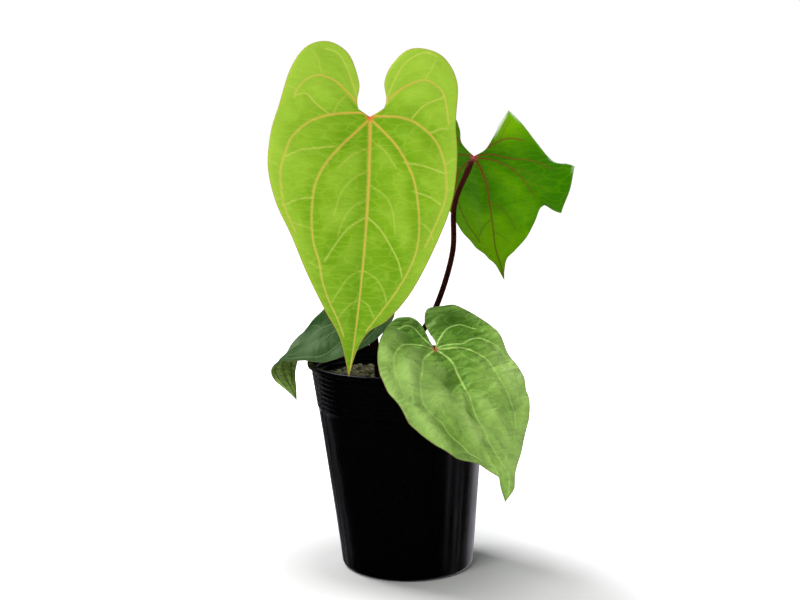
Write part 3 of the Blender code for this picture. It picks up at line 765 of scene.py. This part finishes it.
def leaf_skin(name, top, under, veins, margin, heart, roughness, gloss, hollows, net_strength,
              bump_distance, cloudy, patches, puckers=1.0, pale_edge=0.7, painted_rim_highlights=()):
    """Leaf finish: the flesh varies between two greens in broad and fine clouds, is darkened where it sits
    low as painted shade, is paled on the puffed parts as painted highlight and is paler towards the edge; a
    fine net of cells, the traced veins, the margin and the stalk's end are laid over it.  Veins are given as
    far from the stalk, near the stalk, and the stout ones.  Patches are deeper (more than 0) or paler (less
    than
    0) round places; on the back right and front right leaves the deeper ones are painted shade.  Pale rims
    are painted highlights along turned-over bits of edge.  Both are in mm."""
    mat, tree, shader = node_tree(name)
    flat = tree.nodes.new("ShaderNodeUVMap")
    flat.uv_map = "flat_blade"
    flat = flat.outputs["UV"]
    read = {}
    for word in ("vein", "stout", "inset", "from_stalk", "under", "height"):
        attribute = tree.nodes.new("ShaderNodeAttribute")
        attribute.attribute_name = word
        read[word] = attribute.outputs["Fac"]
    broad = add_node(tree, "ShaderNodeTexNoise", Vector=flat, Scale=9.0, Detail=3.0, Roughness=0.6)
    fine = add_node(tree, "ShaderNodeTexNoise", Vector=flat, Scale=55.0, Detail=4.0, Roughness=0.6)
    warp = add_node(tree, "ShaderNodeTexNoise", Vector=flat, Scale=14.0, Detail=2.0)
    stretched = add_node(tree, "ShaderNodeMapping", Vector=flat, Scale=(0.5, 1.5, 1.0))
    bent = tree.nodes.new("ShaderNodeVectorMath")
    bent.operation = "MULTIPLY_ADD"
    for value, socket in zip((warp.outputs["Color"], (0.05, 0.05, 0.0), stretched.outputs["Vector"]),
                             bent.inputs):
        plug(tree, value, socket)
    cells = add_node(tree, "ShaderNodeTexVoronoi", Vector=bent.outputs["Vector"], Scale=17.0)
    cells.feature = "DISTANCE_TO_EDGE"
    small = add_node(tree, "ShaderNodeTexVoronoi", Vector=bent.outputs["Vector"], Scale=62.0)
    small.feature = "DISTANCE_TO_EDGE"
    net = spread(tree, cells.outputs["Distance"], 0.0, 0.09, net_strength, 0.0)
    small_net = spread(tree, small.outputs["Distance"], 0.0, 0.12, 0.3 * net_strength, 0.0)
    cloud = spread(tree, broad.outputs["Fac"], 0.35, 0.65, 1.0 - cloudy, 1.0)
    near_edge = spread(tree, read["inset"], 0.0, 13.0, pale_edge, 0.0)

    def near_place(across, along, reach, strength):
        """Strength at a place on the flat blade, falling to nothing at reach, all in mm."""
        gap = distance_from(tree, flat, (FLAT_UNIT * across, FLAT_UNIT * along, 0.0))
        return spread(tree, gap, 0.0, FLAT_UNIT * reach, strength, 0.0)

    # Painted shade where the flesh sits low between the veins, and painted highlight where it is puffed up.
    painted_low_flesh_shade = spread(tree, read["height"], 0.18, 0.52, hollows, 0.0)
    painted_puff_highlight = spread(tree, read["height"], 0.50, 0.82, 0.0, 0.7)

    def flesh(deep, bright, pale):
        """The greens of one face, laid over each other in the order above."""
        colour = blend(tree, cloud, deep, bright)
        colour = blend(tree, spread(tree, fine.outputs["Fac"], 0.35, 0.7, 0.0, 0.3), colour, bright)
        colour = blend(tree, painted_low_flesh_shade, colour, deep)
        colour = blend(tree, painted_puff_highlight, colour, pale)
        colour = blend(tree, near_edge, colour, pale)
        # Patches: on the back right and front right leaves the deeper ones are painted shade where the bent
        # blade turns from the lamps.
        for across, along, reach, strength in patches:
            colour = blend(tree, near_place(across, along, reach, abs(strength)), colour,
                           deep if strength > 0.0 else pale)
        colour = blend(tree, net, colour, pale)
        return blend(tree, small_net, colour, pale)

    colour = blend(tree, read["under"], flesh(*top), flesh(*under))
    along_vein = blend(tree, spread(tree, read["from_stalk"], 4.0, 45.0, 1.0, 0.0), veins[0], veins[1])
    colour = blend(tree, read["vein"], colour, along_vein)
    colour = blend(tree, read["stout"], colour, veins[2])
    colour = blend(tree, spread(tree, read["inset"], 0.05, 0.55, 0.9, 0.0), colour, margin)
    # Painted highlight along turned-over bits of edge.
    for across, along, reach in painted_rim_highlights:
        rim = figure(tree, "MULTIPLY", near_place(across, along, reach, 1.6),
                     spread(tree, read["inset"], 0.6, 2.2, 1.0, 0.0))
        colour = blend(tree, rim, colour, (0.56, 0.64, 0.47))
    colour = blend(tree, spread(tree, read["from_stalk"], 0.6, 3.2, 1.0, 0.0), colour, heart)
    tree.links.new(colour, shader.inputs["Base Color"])
    tree.links.new(spread(tree, fine.outputs["Fac"], 0.25, 0.75, roughness - 0.07, roughness + 0.09),
                   shader.inputs["Roughness"])
    shader.inputs["Specular IOR Level"].default_value = gloss
    pucker = add_node(tree, "ShaderNodeTexNoise", Vector=bent.outputs["Vector"], Scale=13.0, Detail=1.5)
    ripple = figure(tree, "ADD", spread(tree, pucker.outputs["Fac"], 0.3, 0.7, 0.0, puckers),
                    spread(tree, fine.outputs["Fac"], 0.3, 0.7, 0.0, 0.2))
    puff = figure(tree, "MULTIPLY_ADD", spread(tree, cells.outputs["Distance"], 0.0, 0.35), 0.6, ripple)
    add_bump(tree, shader, 0.5, bump_distance, puff)
    return mat


def stalk_skin(name, neck):
    """Dark maroon skin, redder towards the blade and turning to the neck's colour where it meets it, with
    fine lengthwise streaks and pale pores."""
    mat, tree, shader = node_tree(name)
    place = add_node(tree, "ShaderNodeTexCoord").outputs["Object"]
    drawn = add_node(tree, "ShaderNodeMapping", Vector=place, Scale=(900.0, 900.0, 90.0))
    streaks = add_node(tree, "ShaderNodeTexNoise", Vector=drawn.outputs["Vector"], Scale=1.0, Detail=3.0)
    pores = add_node(tree, "ShaderNodeTexNoise", Vector=place, Scale=1400.0, Detail=1.0)
    attribute = tree.nodes.new("ShaderNodeAttribute")
    attribute.attribute_name = "from_blade"
    left = attribute.outputs["Fac"]
    skin = blend(tree, spread(tree, streaks.outputs["Fac"], 0.35, 0.7), (0.010, 0.0012, 0.0008),
                 (0.040, 0.0046, 0.0022))
    skin = blend(tree, spread(tree, left, 5.0, 45.0, 0.75, 0.0), skin, (0.075, 0.010, 0.006))
    skin = blend(tree, spread(tree, left, 1.5, 7.0, 1.0, 0.0), skin, neck)
    skin = blend(tree, spread(tree, pores.outputs["Fac"], 0.68, 0.76, 0.0, 0.35), skin, (0.10, 0.045, 0.03))
    tree.links.new(skin, shader.inputs["Base Color"])
    tree.links.new(spread(tree, streaks.outputs["Fac"], 0.3, 0.7, 0.32, 0.5), shader.inputs["Roughness"])
    shader.inputs["Specular IOR Level"].default_value = 0.06
    add_bump(tree, shader, 0.25, 0.0002, streaks.outputs["Fac"])
    return mat


STALK_ROWS = 260
STALK_SIDES = 36
LANDING = 1.5
SUNK_IN = 0.25
STRAIGHT_END = 5.0
STALK_RADIUS = 1.85
STALK_TAPER = 0.4
# Height and length in mm of the flare at the foot, of the swelling and of the nip at the blade.
FOOT_FLARE = (0.7, 7.0)
NECK_SWELL = (0.35, 6.0)
NECK_FROM_END = 10.0
NECK_NIP = (0.25, 2.5)


def build_stalk(name, route, leaf, skin):
    """A round tube along a smooth line: its radius tapers, flares at the foot and swells where it turns into
    the blade, and one side is a little hollowed; it ends square in the back of the blade."""
    normal = blade_normal(leaf, np.array([0.0]), np.array([LANDING]))[0]
    landing = blade_surface(leaf, np.array([0.0]), np.array([LANDING]))[0]
    last_stretch = [tuple(landing - normal * STRAIGHT_END), tuple(landing - normal * SUNK_IN)]
    line = smooth_line(list(route) + last_stretch, STALK_ROWS)
    ahead = np.gradient(line, axis=0)
    ahead[-1] = normal
    ahead /= np.linalg.norm(ahead, axis=1, keepdims=True)
    guide = np.array([1.0, 0.0, 0.0]) - ahead * ahead[:, :1]
    guide /= np.linalg.norm(guide, axis=1, keepdims=True)
    other = np.cross(ahead, guide)
    part = np.linspace(0.0, 1.0, STALK_ROWS)[:, None]
    length = np.linalg.norm(np.diff(line, axis=0), axis=1).sum()
    from_end = (1.0 - part) * length
    radius = (STALK_RADIUS - STALK_TAPER * part
              + FOOT_FLARE[0] * np.exp(-(part * length / FOOT_FLARE[1]) ** 2)
              + NECK_SWELL[0] * np.exp(-((from_end - NECK_FROM_END) / NECK_SWELL[1]) ** 2)
              - NECK_NIP[0] * np.exp(-(from_end / NECK_NIP[1]) ** 2))
    angle = np.linspace(0.0, 2.0 * np.pi, STALK_SIDES, endpoint=False)[None, :]
    radius = radius * (1.0 - 0.07 * np.exp(-(np.sin(0.5 * (angle - 1.2)) / 0.25) ** 2)
                       + 0.012 * np.sin(5.0 * angle + 7.0 * part))
    points = (line[:, None, :] + (radius * np.cos(angle))[..., None] * guide[:, None, :]
              + (radius * np.sin(angle))[..., None] * other[:, None, :])
    made = new_object(name, points.reshape(-1, 3), tube_faces(STALK_ROWS, STALK_SIDES))
    left = np.repeat(from_end[:, 0], STALK_SIDES)
    made.data.attributes.new("from_blade", "FLOAT", "POINT").data.foreach_set("value", left)
    weld(made)
    made.data.materials.append(skin)
    return made


front_blade = build_blade("front_leaf_heart", FRONT_LEAF, FRONT_VEINS)
front_blade.data.materials.append(leaf_skin(
    "young_lime_leaf",
    top=((0.100, 0.240, 0.001), (0.175, 0.330, 0.007), (0.295, 0.460, 0.040)),
    under=((0.17, 0.30, 0.03), (0.22, 0.36, 0.05), (0.29, 0.42, 0.08)),
    veins=((0.42, 0.50, 0.085), (0.46, 0.40, 0.06), (0.50, 0.30, 0.045)),
    margin=(0.34, 0.17, 0.04), heart=(0.58, 0.10, 0.03), roughness=0.45, gloss=0.14, hollows=0.6,
    net_strength=0.28, bump_distance=0.0005, cloudy=0.6,
    patches=((2, 138, 46, 1.0), (-6, 92, 42, 0.5), (6, 100, 40, 0.4), (30, -20, 32, -0.7),
             (-30, -22, 34, -0.7), (-46, 22, 30, -0.45), (44, 30, 22, -0.3), (-12, 8, 22, 0.6),
             (12, 8, 22, 0.6), (0, 40, 24, 0.3))))
fit(front_blade, "front_leaf_blade")
fit(build_stalk("front_leaf_stem", FRONT_STALK, FRONT_LEAF,
                stalk_skin("maroon_stalk_orange_neck", (0.40, 0.10, 0.035))),
    "front_leaf_stalk")

# ---- Back right leaf ---------------------------------------------------------------
# A leaf turned away from the front, so its glossy under face shows.  Its lobes are
# thrown back, one side edge is folded over, and its veins are red-brown near the stalk.  The shade round
# the fold and the shine along its folded edges are painted.

BACK_RIGHT_LEAF = {
    "junction": (38.6, 30.0, 235.3),
    "aim": (155.0, -66.0, 0.0),
    "turn": 0.0,
    "sweep": 0.0,
    "bend": ((-60, -6), (0, 0), (60, 4), (100, 14)),
    "fold": (16.0, -0.2),
    "lobes": ((20, -13), (-24, -4)),
    "right": ((0, 0), (5, -4), (8, -9), (7.5, -16), (10, -24), (19, -30), (30, -28),
              (38, -18), (40, -4), (38, 10), (32, 24), (26, 36), (21, 47), (12, 59),
              (3, 66), (-3, 71), (-6, 77), (-8.3, 83)),
    "left": ((0, 0), (-7, -3.5), (-13, -11), (-18, -19), (-23.4, -25.6), (-24.3, -26.8),
             (-25, -25.8), (-31, -17), (-38, -5), (-45, 7), (-51, 10.6), (-55.5, 11.4),
             (-57, 12), (-56.5, 13.4), (-54.5, 24), (-49, 36.5), (-48, 38.6), (-46, 38.2),
             (-40.5, 35.2), (-38.5, 34.8), (-36.5, 35.8), (-33, 39), (-30, 46), (-24, 56),
             (-16, 64), (-11, 69), (-9, 76), (-8.3, 83)),
    "swells": ((-47, 30, 12, -5.0), (-52, 12, 9, 4.0), (-34, 38, 8, 4.0), (30, 10, 16, -3.0)),
    "puff": 0.6, "lumpiness": 0.9, "wave": 0.4, "seed": 41, "rings": (44, 72),
    "vein_width": 0.72,
}
BACK_RIGHT_VEINS = (
    (0, ((0, 1), (-2.6, 7.4), (-4, 14), (-5, 21), (-5, 39), (-5, 61), (-7, 72), (-8.3, 81))),
    (1, ((0, 0), (-6.9, -3.6), (-11.4, -6.2), (-16.3, -8.1), (-20.5, -9.3), (-25.1, -9.1), (-30.8, -7.3))),
    (1, ((0, 0), (-3.6, -0.2), (-9.5, -0.4), (-15.1, 1.2), (-23.6, 4), (-35, 6.3), (-44, 12))),
    (1, ((-1, 1), (-9, 3.1), (-14.6, 5.6), (-20, 9.4), (-25.2, 15.1), (-29.1, 21.9), (-32.5, 28.7))),
    (1, ((0, 0), (4.6, -4.3), (7.9, -7.6), (13.1, -10.5), (20, -13), (27, -12), (31, -7))),
    (1, ((0, 0), (6, 0), (14, 1), (22, 5), (28, 11), (30, 19))),
    (1, ((0, 1), (7, 6), (13, 13), (17, 23), (17, 34), (13, 46), (5, 58))),
    (2, ((-5, 30), (-11, 35), (-16, 42), (-19, 50))),
    (2, ((-5, 42), (1, 47), (5, 54))),
    (3, ((-20, 9.4), (-28, 12), (-38, 18))),
    (3, ((-26, 17), (-33, 20), (-42, 27))),
    (3, ((-5, 50), (-10, 54), (-14, 59))),
    (3, ((-16, -8), (-21, -16), (-24, -21))),
)
BACK_RIGHT_STALK = ((-10.0, 3.8, 109.0), (-9.6, 4.2, 113.4), (5.0, 10.0, 130.0), (17.0, 15.0, 150.0),
                    (26.0, 19.0, 180.0), (27.0, 21.0, 207.0), (34.5, 22.0, 227.0))

back_right_blade = build_blade("back_right_leaf_heart", BACK_RIGHT_LEAF, BACK_RIGHT_VEINS)
back_right_blade.data.materials.append(leaf_skin(
    "glossy_green_leaf",
    top=((0.085, 0.225, 0.020), (0.135, 0.300, 0.035), (0.22, 0.36, 0.08)),
    under=((0.026, 0.135, 0.0), (0.080, 0.265, 0.0), (0.145, 0.345, 0.0)),
    veins=((0.085, 0.130, 0.006), (0.26, 0.040, 0.018), (0.14, 0.050, 0.008)),
    margin=(0.20, 0.20, 0.05), heart=(0.55, 0.07, 0.085), roughness=0.38, gloss=0.035, hollows=0.9,
    net_strength=0.2, bump_distance=0.0008, cloudy=0.7, puckers=1.5, pale_edge=0.0,
    # Painted shade: the deeper patches round the folded-over flap.  Painted highlight: the pale rims on its
    # folded edges.
    patches=((-24, -18, 22, -0.9), (-52, 26, 30, 1.3), (-38, 6, 26, 1.2), (2, 62, 34, -0.9),
             (10, 20, 24, 0.9), (-14, 2, 14, 0.8)),
    painted_rim_highlights=((-50, 9, 9), (-19, -19, 11))))
fit(back_right_blade, "back_right_leaf_blade")
fit(build_stalk("back_right_leaf_stem", BACK_RIGHT_STALK, BACK_RIGHT_LEAF,
                stalk_skin("maroon_stalk_pink_neck", (0.48, 0.075, 0.095))),
    "back_right_leaf_stalk")

# ---- Front right leaf --------------------------------------------------------------
# A grown leaf on a short stalk, reaching forward over the rim of the pot.  Its flesh
# is thick and deeply quilted, with yellow-green veins and a pale sheen, partly from its gloss and partly
# painted highlight on the puffed parts, with painted shade in the dips.

FRONT_RIGHT_LEAF = {
    "junction": (14.3, -42.0, 133.8),
    "aim": (38.0, -42.0, 0.0),
    "turn": 0.0,
    "sweep": 0.0,
    "bend": ((-60, -15), (-30, -12), (0, 0), (50, 8), (100, 25)),
    "fold": (8.0, -0.12),
    "lobes": ((23, -8), (-24, -5)),
    "right": ((0, 0), (3.2, -5), (3.4, -12), (5, -20), (11, -27), (21, -29), (32, -26),
              (40, -17), (44, -3), (44, 14), (44, 30), (38, 46), (30, 58), (20, 70),
              (12, 79), (8, 87), (0.5, 93)),
    "left": ((0, 0), (0.6, -6), (1.6, -12), (1.9, -19), (-1, -25), (-7, -26), (-15, -23),
             (-26, -16), (-36, -7), (-44, 5), (-47.5, 18), (-46, 34), (-42, 46),
             (-35, 58), (-25, 65), (-12, 70), (-4, 76), (3, 82), (5, 88), (0.5, 93)),
    "swells": ((22, 12, 14, 2.0), (-22, 14, 14, 2.0), (16, 44, 14, 1.5), (-18, 46, 14, 1.5)),
    "puff": 1.25, "lumpiness": 2.1, "wave": 0.7, "seed": 53, "rings": (72, 44),
    "vein_width": 0.6,
}
FRONT_RIGHT_VEINS = (
    (0, ((0, 0), (3, 4), (5, 9), (5, 17.5), (4.5, 25), (3.5, 33), (2.5, 42), (2, 50.5), (2.5, 59),
         (4, 66), (5, 72.5), (6.5, 81.5), (3, 90))),
    (1, ((0, 0), (-11, 5.5), (-15, 8), (-21, 16), (-26.5, 25), (-29, 33), (-27.5, 42), (-24, 46),
         (-23.5, 50), (-22, 54), (-19, 58), (-13, 64), (-6, 70))),
    (1, ((0, 0), (-9, -3), (-16, -4), (-24, -2.5), (-33, 4), (-38, 14), (-39, 27))),
    (1, ((0, 0), (-2.5, -8.5), (-4.5, -15.5), (-10, -18), (-18, -15))),
    (1, ((0, 0), (3, 0.5), (12, 2.5), (18.5, 4.5), (23.5, 10), (26.5, 15), (27.5, 22), (27.5, 28.5),
         (28, 35), (27, 45), (22, 57))),
    (1, ((0, 0), (6, -1), (17.5, 0.5), (28.5, -1.5), (34, 1), (39.5, 9), (40, 20))),
    (1, ((0, 0), (6.5, -6), (15.5, -11.5), (25.5, -13), (33, -8))),
    (2, ((3.5, 28.5), (11, 31.5), (16.5, 36.5), (22.5, 41.5), (22, 48.5), (20, 57), (18.5, 62.5),
         (15.5, 70))),
    (2, ((4.5, 24), (-4, 28), (-11, 36), (-14, 46), (-13, 56))),
    (2, ((2.2, 52), (9, 56), (14, 63))),
    (3, ((-21, 16), (-30, 15), (-38, 18))),
    (3, ((-27, 28), (-34, 30), (-40, 36))),
    (3, ((-28, 40), (-34, 44), (-37, 50))),
    (3, ((26, 15), (33, 15), (40, 20))),
    (3, ((28, 33), (34, 34), (39, 38))),
    (3, ((12, 2.5), (14, 10), (20, 16))),
    (3, ((5, 14), (12, 17), (19, 24))),
    (3, ((5, 14), (-4, 17), (-12, 24))),
    (3, ((3, 66), (-4, 67), (-10, 66))),
)
FRONT_RIGHT_STALK = ((-11.2, -0.6, 109.0), (-10.6, -1.4, 113.4), (-5.0, -9.0, 119.0), (3.0, -20.0, 124.0),
                     (9.0, -31.0, 126.5))

front_right_blade = build_blade("front_right_leaf_heart", FRONT_RIGHT_LEAF, FRONT_RIGHT_VEINS)
front_right_blade.data.materials.append(leaf_skin(
    "quilted_green_leaf",
    top=((0.034, 0.115, 0.002), (0.195, 0.375, 0.045), (0.430, 0.620, 0.180)),
    under=((0.13, 0.24, 0.06), (0.18, 0.31, 0.09), (0.24, 0.37, 0.13)),
    veins=((0.235, 0.42, 0.085), (0.32, 0.52, 0.12), (0.42, 0.62, 0.15)),
    margin=(0.17, 0.13, 0.05), heart=(0.25, 0.05, 0.03), roughness=0.42, gloss=0.12, hollows=0.7,
    net_strength=0.10, bump_distance=0.0018, cloudy=0.4, puckers=2.0, pale_edge=0.25,
    # Painted shade: the deeper patches on the back lobes, where they rise away from the lamps.
    patches=((22, -18, 38, 1.0), (-12, -16, 34, 0.9), (-32, 24, 34, -0.5), (38, 26, 26, -0.5),
             (12, 62, 34, -0.4), (0, 20, 20, 0.5))))
fit(front_right_blade, "front_right_leaf_blade")
old_stalk_skin = stalk_skin("maroon_stalk_dark_neck", (0.12, 0.02, 0.015))
fit(build_stalk("front_right_leaf_stem", FRONT_RIGHT_STALK, FRONT_RIGHT_LEAF, old_stalk_skin),
    "front_right_leaf_stalk")

# ---- Back left leaf ------------------------------------------------------------------
# The oldest leaf, dull and blue-green, lying out over the rim on its left; its tip
# has curled right over, so the pale under face of the end shows.

BACK_LEFT_LEAF = {
    "junction": (-30.5, 6.0, 144.8),
    "aim": (-106.0, -20.0, 28.0),
    "turn": 34.0,
    "sweep": 0.0,
    "bend": ((-60, 10), (-20, 5), (0, 2), (16, 8), (30, 20), (38, 22), (46, 30), (52, 95),
             (60, 135), (80, 140)),
    "fold": (5.0, -0.1),
    "lobes": ((26, -8), (-22, -4)),
    "right": ((0, 0), (4, -5), (5, -13), (8, -23), (16, -29), (30, -28), (42, -17), (46, -3),
              (42, 12), (33, 27), (23, 41), (14, 54), (7, 64), (1, 73), (-5, 84)),
    "left": ((0, 0), (-4, -5), (-5, -13), (-8, -22), (-18, -28), (-33, -25), (-46, -11),
             (-52, 6), (-51, 20), (-43, 34), (-29, 45), (-17, 55), (-10.5, 65), (-7.5, 75),
             (-5, 84)),
    "swells": ((20, 20, 12, 1.5), (-14, 20, 12, 1.5)),
    "puff": 0.9, "lumpiness": 1.3, "wave": 0.5, "seed": 67, "rings": (66, 50),
    "vein_width": 0.6,
}
BACK_LEFT_VEINS = (
    (0, ((0, 0), (0, 20), (-0.5, 45), (-2.5, 65), (-4.6, 82))),
    (1, ((0, 1), (8, 7), (15, 15), (19, 25), (17, 38), (11, 50), (4, 62), (-1, 74))),
    (1, ((0, 1), (-8, 6), (-17, 13), (-24, 23), (-23, 35), (-15, 48), (-9, 60), (-5.5, 73))),
    (1, ((0, 0), (10, 0), (21, 2), (31, 8), (34, 17), (28, 30), (19, 43))),
    (1, ((0, 0), (-10, -1), (-22, 1), (-33, 7), (-39, 17), (-36, 29), (-26, 41), (-17, 51))),
    (1, ((0, 0), (5, -8), (13, -15), (24, -19), (34, -14), (40, -4))),
    (1, ((0, 0), (-5, -8), (-12, -15), (-22, -18), (-33, -14), (-42, -4), (-45, 6))),
    (2, ((0, 24), (7, 29), (12, 36), (13, 44))),
    (2, ((0, 22), (-8, 28), (-14, 36), (-15, 46))),
    (3, ((-1, 44), (3, 49), (5, 57))),
    (3, ((-1, 44), (-5, 49), (-8, 56))),
    (3, ((21, 2), (29, -2), (38, -3))),
    (3, ((18, 20), (25, 19), (33, 20))),
    (3, ((-19, 16), (-28, 15), (-38, 18))),
    (3, ((-24, 26), (-30, 27), (-38, 30))),
    (3, ((-22, 1), (-30, -4), (-42, -4))),
    (3, ((-10, 8), (-8, 16), (-2, 24))),
)
BACK_LEFT_STALK = ((-15.0, 4.8, 109.0), (-15.6, 5.4, 113.4), (-19.0, 6.0, 124.0), (-24.0, 3.0, 136.0))

back_left_blade = build_blade("back_left_leaf_heart", BACK_LEFT_LEAF, BACK_LEFT_VEINS)
back_left_blade.data.materials.append(leaf_skin(
    "dull_blue_green_leaf",
    top=((0.010, 0.034, 0.005), (0.034, 0.070, 0.024), (0.080, 0.122, 0.062)),
    under=((0.12, 0.21, 0.025), (0.24, 0.36, 0.08), (0.44, 0.54, 0.26)),
    veins=((0.066, 0.106, 0.042), (0.075, 0.116, 0.048), (0.085, 0.126, 0.055)),
    margin=(0.07, 0.08, 0.03), heart=(0.12, 0.04, 0.02), roughness=0.55, gloss=0.01, hollows=0.8,
    net_strength=0.12, bump_distance=0.0018, cloudy=0.6, puckers=2.0, pale_edge=0.0,
    patches=((-16, 34, 30, 1.0), (-32, 12, 30, 0.9), (14, 50, 26, 0.4), (-2, 44, 13, -0.9),
             (2, 28, 12, -0.7), (20, 24, 16, -0.5), (-8, 6, 20, 0.8))))
fit(back_left_blade, "back_left_leaf_blade")
fit(build_stalk("back_left_leaf_stem", BACK_LEFT_STALK, BACK_LEFT_LEAF, old_stalk_skin),
    "back_left_leaf_stalk")

# ---- Studio ------------------------------------------------------------------------
# A plain white paper floor with a painted shadow round the pot's foot and a painted glow farther
# out, one large soft light in front, one above, and a dark room with a few tall
# bright panels for the black plastic to mirror.

FLOOR_REACH = 6000.0
FOOT_SHADE_CENTRE = (-0.014, -0.004, 0.0)


def white_paper_painted_shadow():
    """White paper with a faint grain, a painted shadow round the foot and a painted glow growing farther out.
    """
    mat, tree, shader = node_tree("white_paper_painted_shadow")
    place = add_node(tree, "ShaderNodeTexCoord").outputs["Object"]
    grain = add_node(tree, "ShaderNodeTexNoise", Vector=place, Scale=600.0, Detail=2.0)
    away = distance_from(tree, place, FOOT_SHADE_CENTRE)
    paper = blend(tree, grain.outputs["Fac"], (0.86, 0.86, 0.86), (0.88, 0.88, 0.88))
    # Painted shadow: the paper is greyed round the pot's foot.
    shaded = blend(tree, spread(tree, away, 0.036, 0.105, 0.66, 0.0), paper, (0.30, 0.30, 0.30))
    tree.links.new(shaded, shader.inputs["Base Color"])
    # Painted light: the paper glows, not at all by the foot and more the farther out, so the far floor reads
    # white.
    tree.links.new(spread(tree, away, 0.06, 0.38, 0.0, 0.75), shader.inputs["Emission Strength"])
    shader.inputs["Emission Color"].default_value = (1.0, 1.0, 1.0, 1.0)
    shader.inputs["Roughness"].default_value = 0.9
    shader.inputs["Specular IOR Level"].default_value = 0.0
    return mat


floor = new_object("studio_floor", FLOOR_REACH * np.array([(-1, -1, 0), (1, -1, 0), (1, 1, 0), (-1, 1, 0)]),
                   [(0, 1, 2, 3)], smooth=False)
floor.data.materials.append(white_paper_painted_shadow())
floor.visible_glossy = False


def soft_light(name, place, aim, size, power, colour, mirrored):
    """A square soft light at place, turned to shine at aim, unseen by the camera and mirrored only if
    asked."""
    lamp = bpy.data.lights.new(name, "AREA")
    lamp.shape = "SQUARE"
    lamp.size = size
    lamp.energy = power
    lamp.color = colour
    made = bpy.data.objects.new(name, lamp)
    back = np.array(place) - np.array(aim)
    back = back / np.linalg.norm(back)
    made.location = place
    made.rotation_euler = (math.acos(back[2]), 0.0, math.atan2(back[0], -back[1]))
    made.visible_camera = False
    made.visible_glossy = mirrored
    bpy.context.scene.collection.objects.link(made)


soft_light("front_soft_light", (-0.70, -1.20, 1.10), (0.0, 0.0, 0.15), 0.9, 19.0, (1.0, 0.99, 0.97), False)
soft_light("top_soft_light", (-0.55, 0.35, 1.05), (0.0, 0.0, 0.12), 0.45, 17.0, (1.0, 1.0, 1.0), True)

world = bpy.data.worlds.new("studio_room")
bpy.context.scene.world = world
world.use_nodes = True
world.cycles.sampling_method = "NONE"
room = world.node_tree
room.nodes.clear()
output = room.nodes.new("ShaderNodeOutputWorld")
look = add_node(room, "ShaderNodeTexCoord")
parts = add_node(room, "ShaderNodeSeparateXYZ", Vector=look.outputs["Generated"])
compass = figure(room, "ARCTAN2", parts.outputs["X"], figure(room, "MULTIPLY", parts.outputs["Y"], -1.0))

# (compass bearing from the front in degrees, half width in degrees, brightness)
PANELS = ((-138.0, 2.5, 1.4), (-166.0, 4.0, 1.0), (148.0, 17.0, 1.6), (90.0, 4.0, 2.0))
seen_bright = spread(room, parts.outputs["Z"], 0.25, 0.95, 0.0, 0.6)
for bearing, half_width, brightness in PANELS:
    off = figure(room, "ABSOLUTE", figure(room, "SUBTRACT", compass, math.radians(bearing)))
    panel = spread(room, off, math.radians(0.6 * half_width), math.radians(1.2 * half_width), brightness, 0.0)
    seen_bright = figure(room, "ADD", seen_bright, panel)

path = add_node(room, "ShaderNodeLightPath")
mirrored = add_node(room, "ShaderNodeBackground", Color=(0.94, 0.90, 1.0, 1.0), Strength=seen_bright)
ambient = add_node(room, "ShaderNodeBackground", Color=(0.97, 0.99, 1.0, 1.0), Strength=0.36)
white = add_node(room, "ShaderNodeBackground", Color=(1.0, 1.0, 1.0, 1.0), Strength=1.0)
surface = ambient.outputs["Background"]
for ray, other in (("Is Glossy Ray", mirrored), ("Is Camera Ray", white)):
    chosen = room.nodes.new("ShaderNodeMixShader")
    for value, socket in zip((path.outputs[ray], surface, other.outputs["Background"]), chosen.inputs):
        plug(room, value, socket)
    surface = chosen.outputs["Shader"]
room.links.new(surface, output.inputs["Surface"])

lens = bpy.data.cameras.new("camera")
lens.lens = 63.7
lens.sensor_width = 36.0
lens.clip_start = 0.01
lens.clip_end = 50.0
camera = bpy.data.objects.new("camera", lens)
camera.location = (-0.0046, -0.800, 0.2755)
camera.rotation_euler = (math.radians(90.0 - 8.58), 0.0, 0.0)
bpy.context.scene.collection.objects.link(camera)
bpy.context.scene.camera = camera
bpy.context.scene.view_settings.view_transform = "Standard"
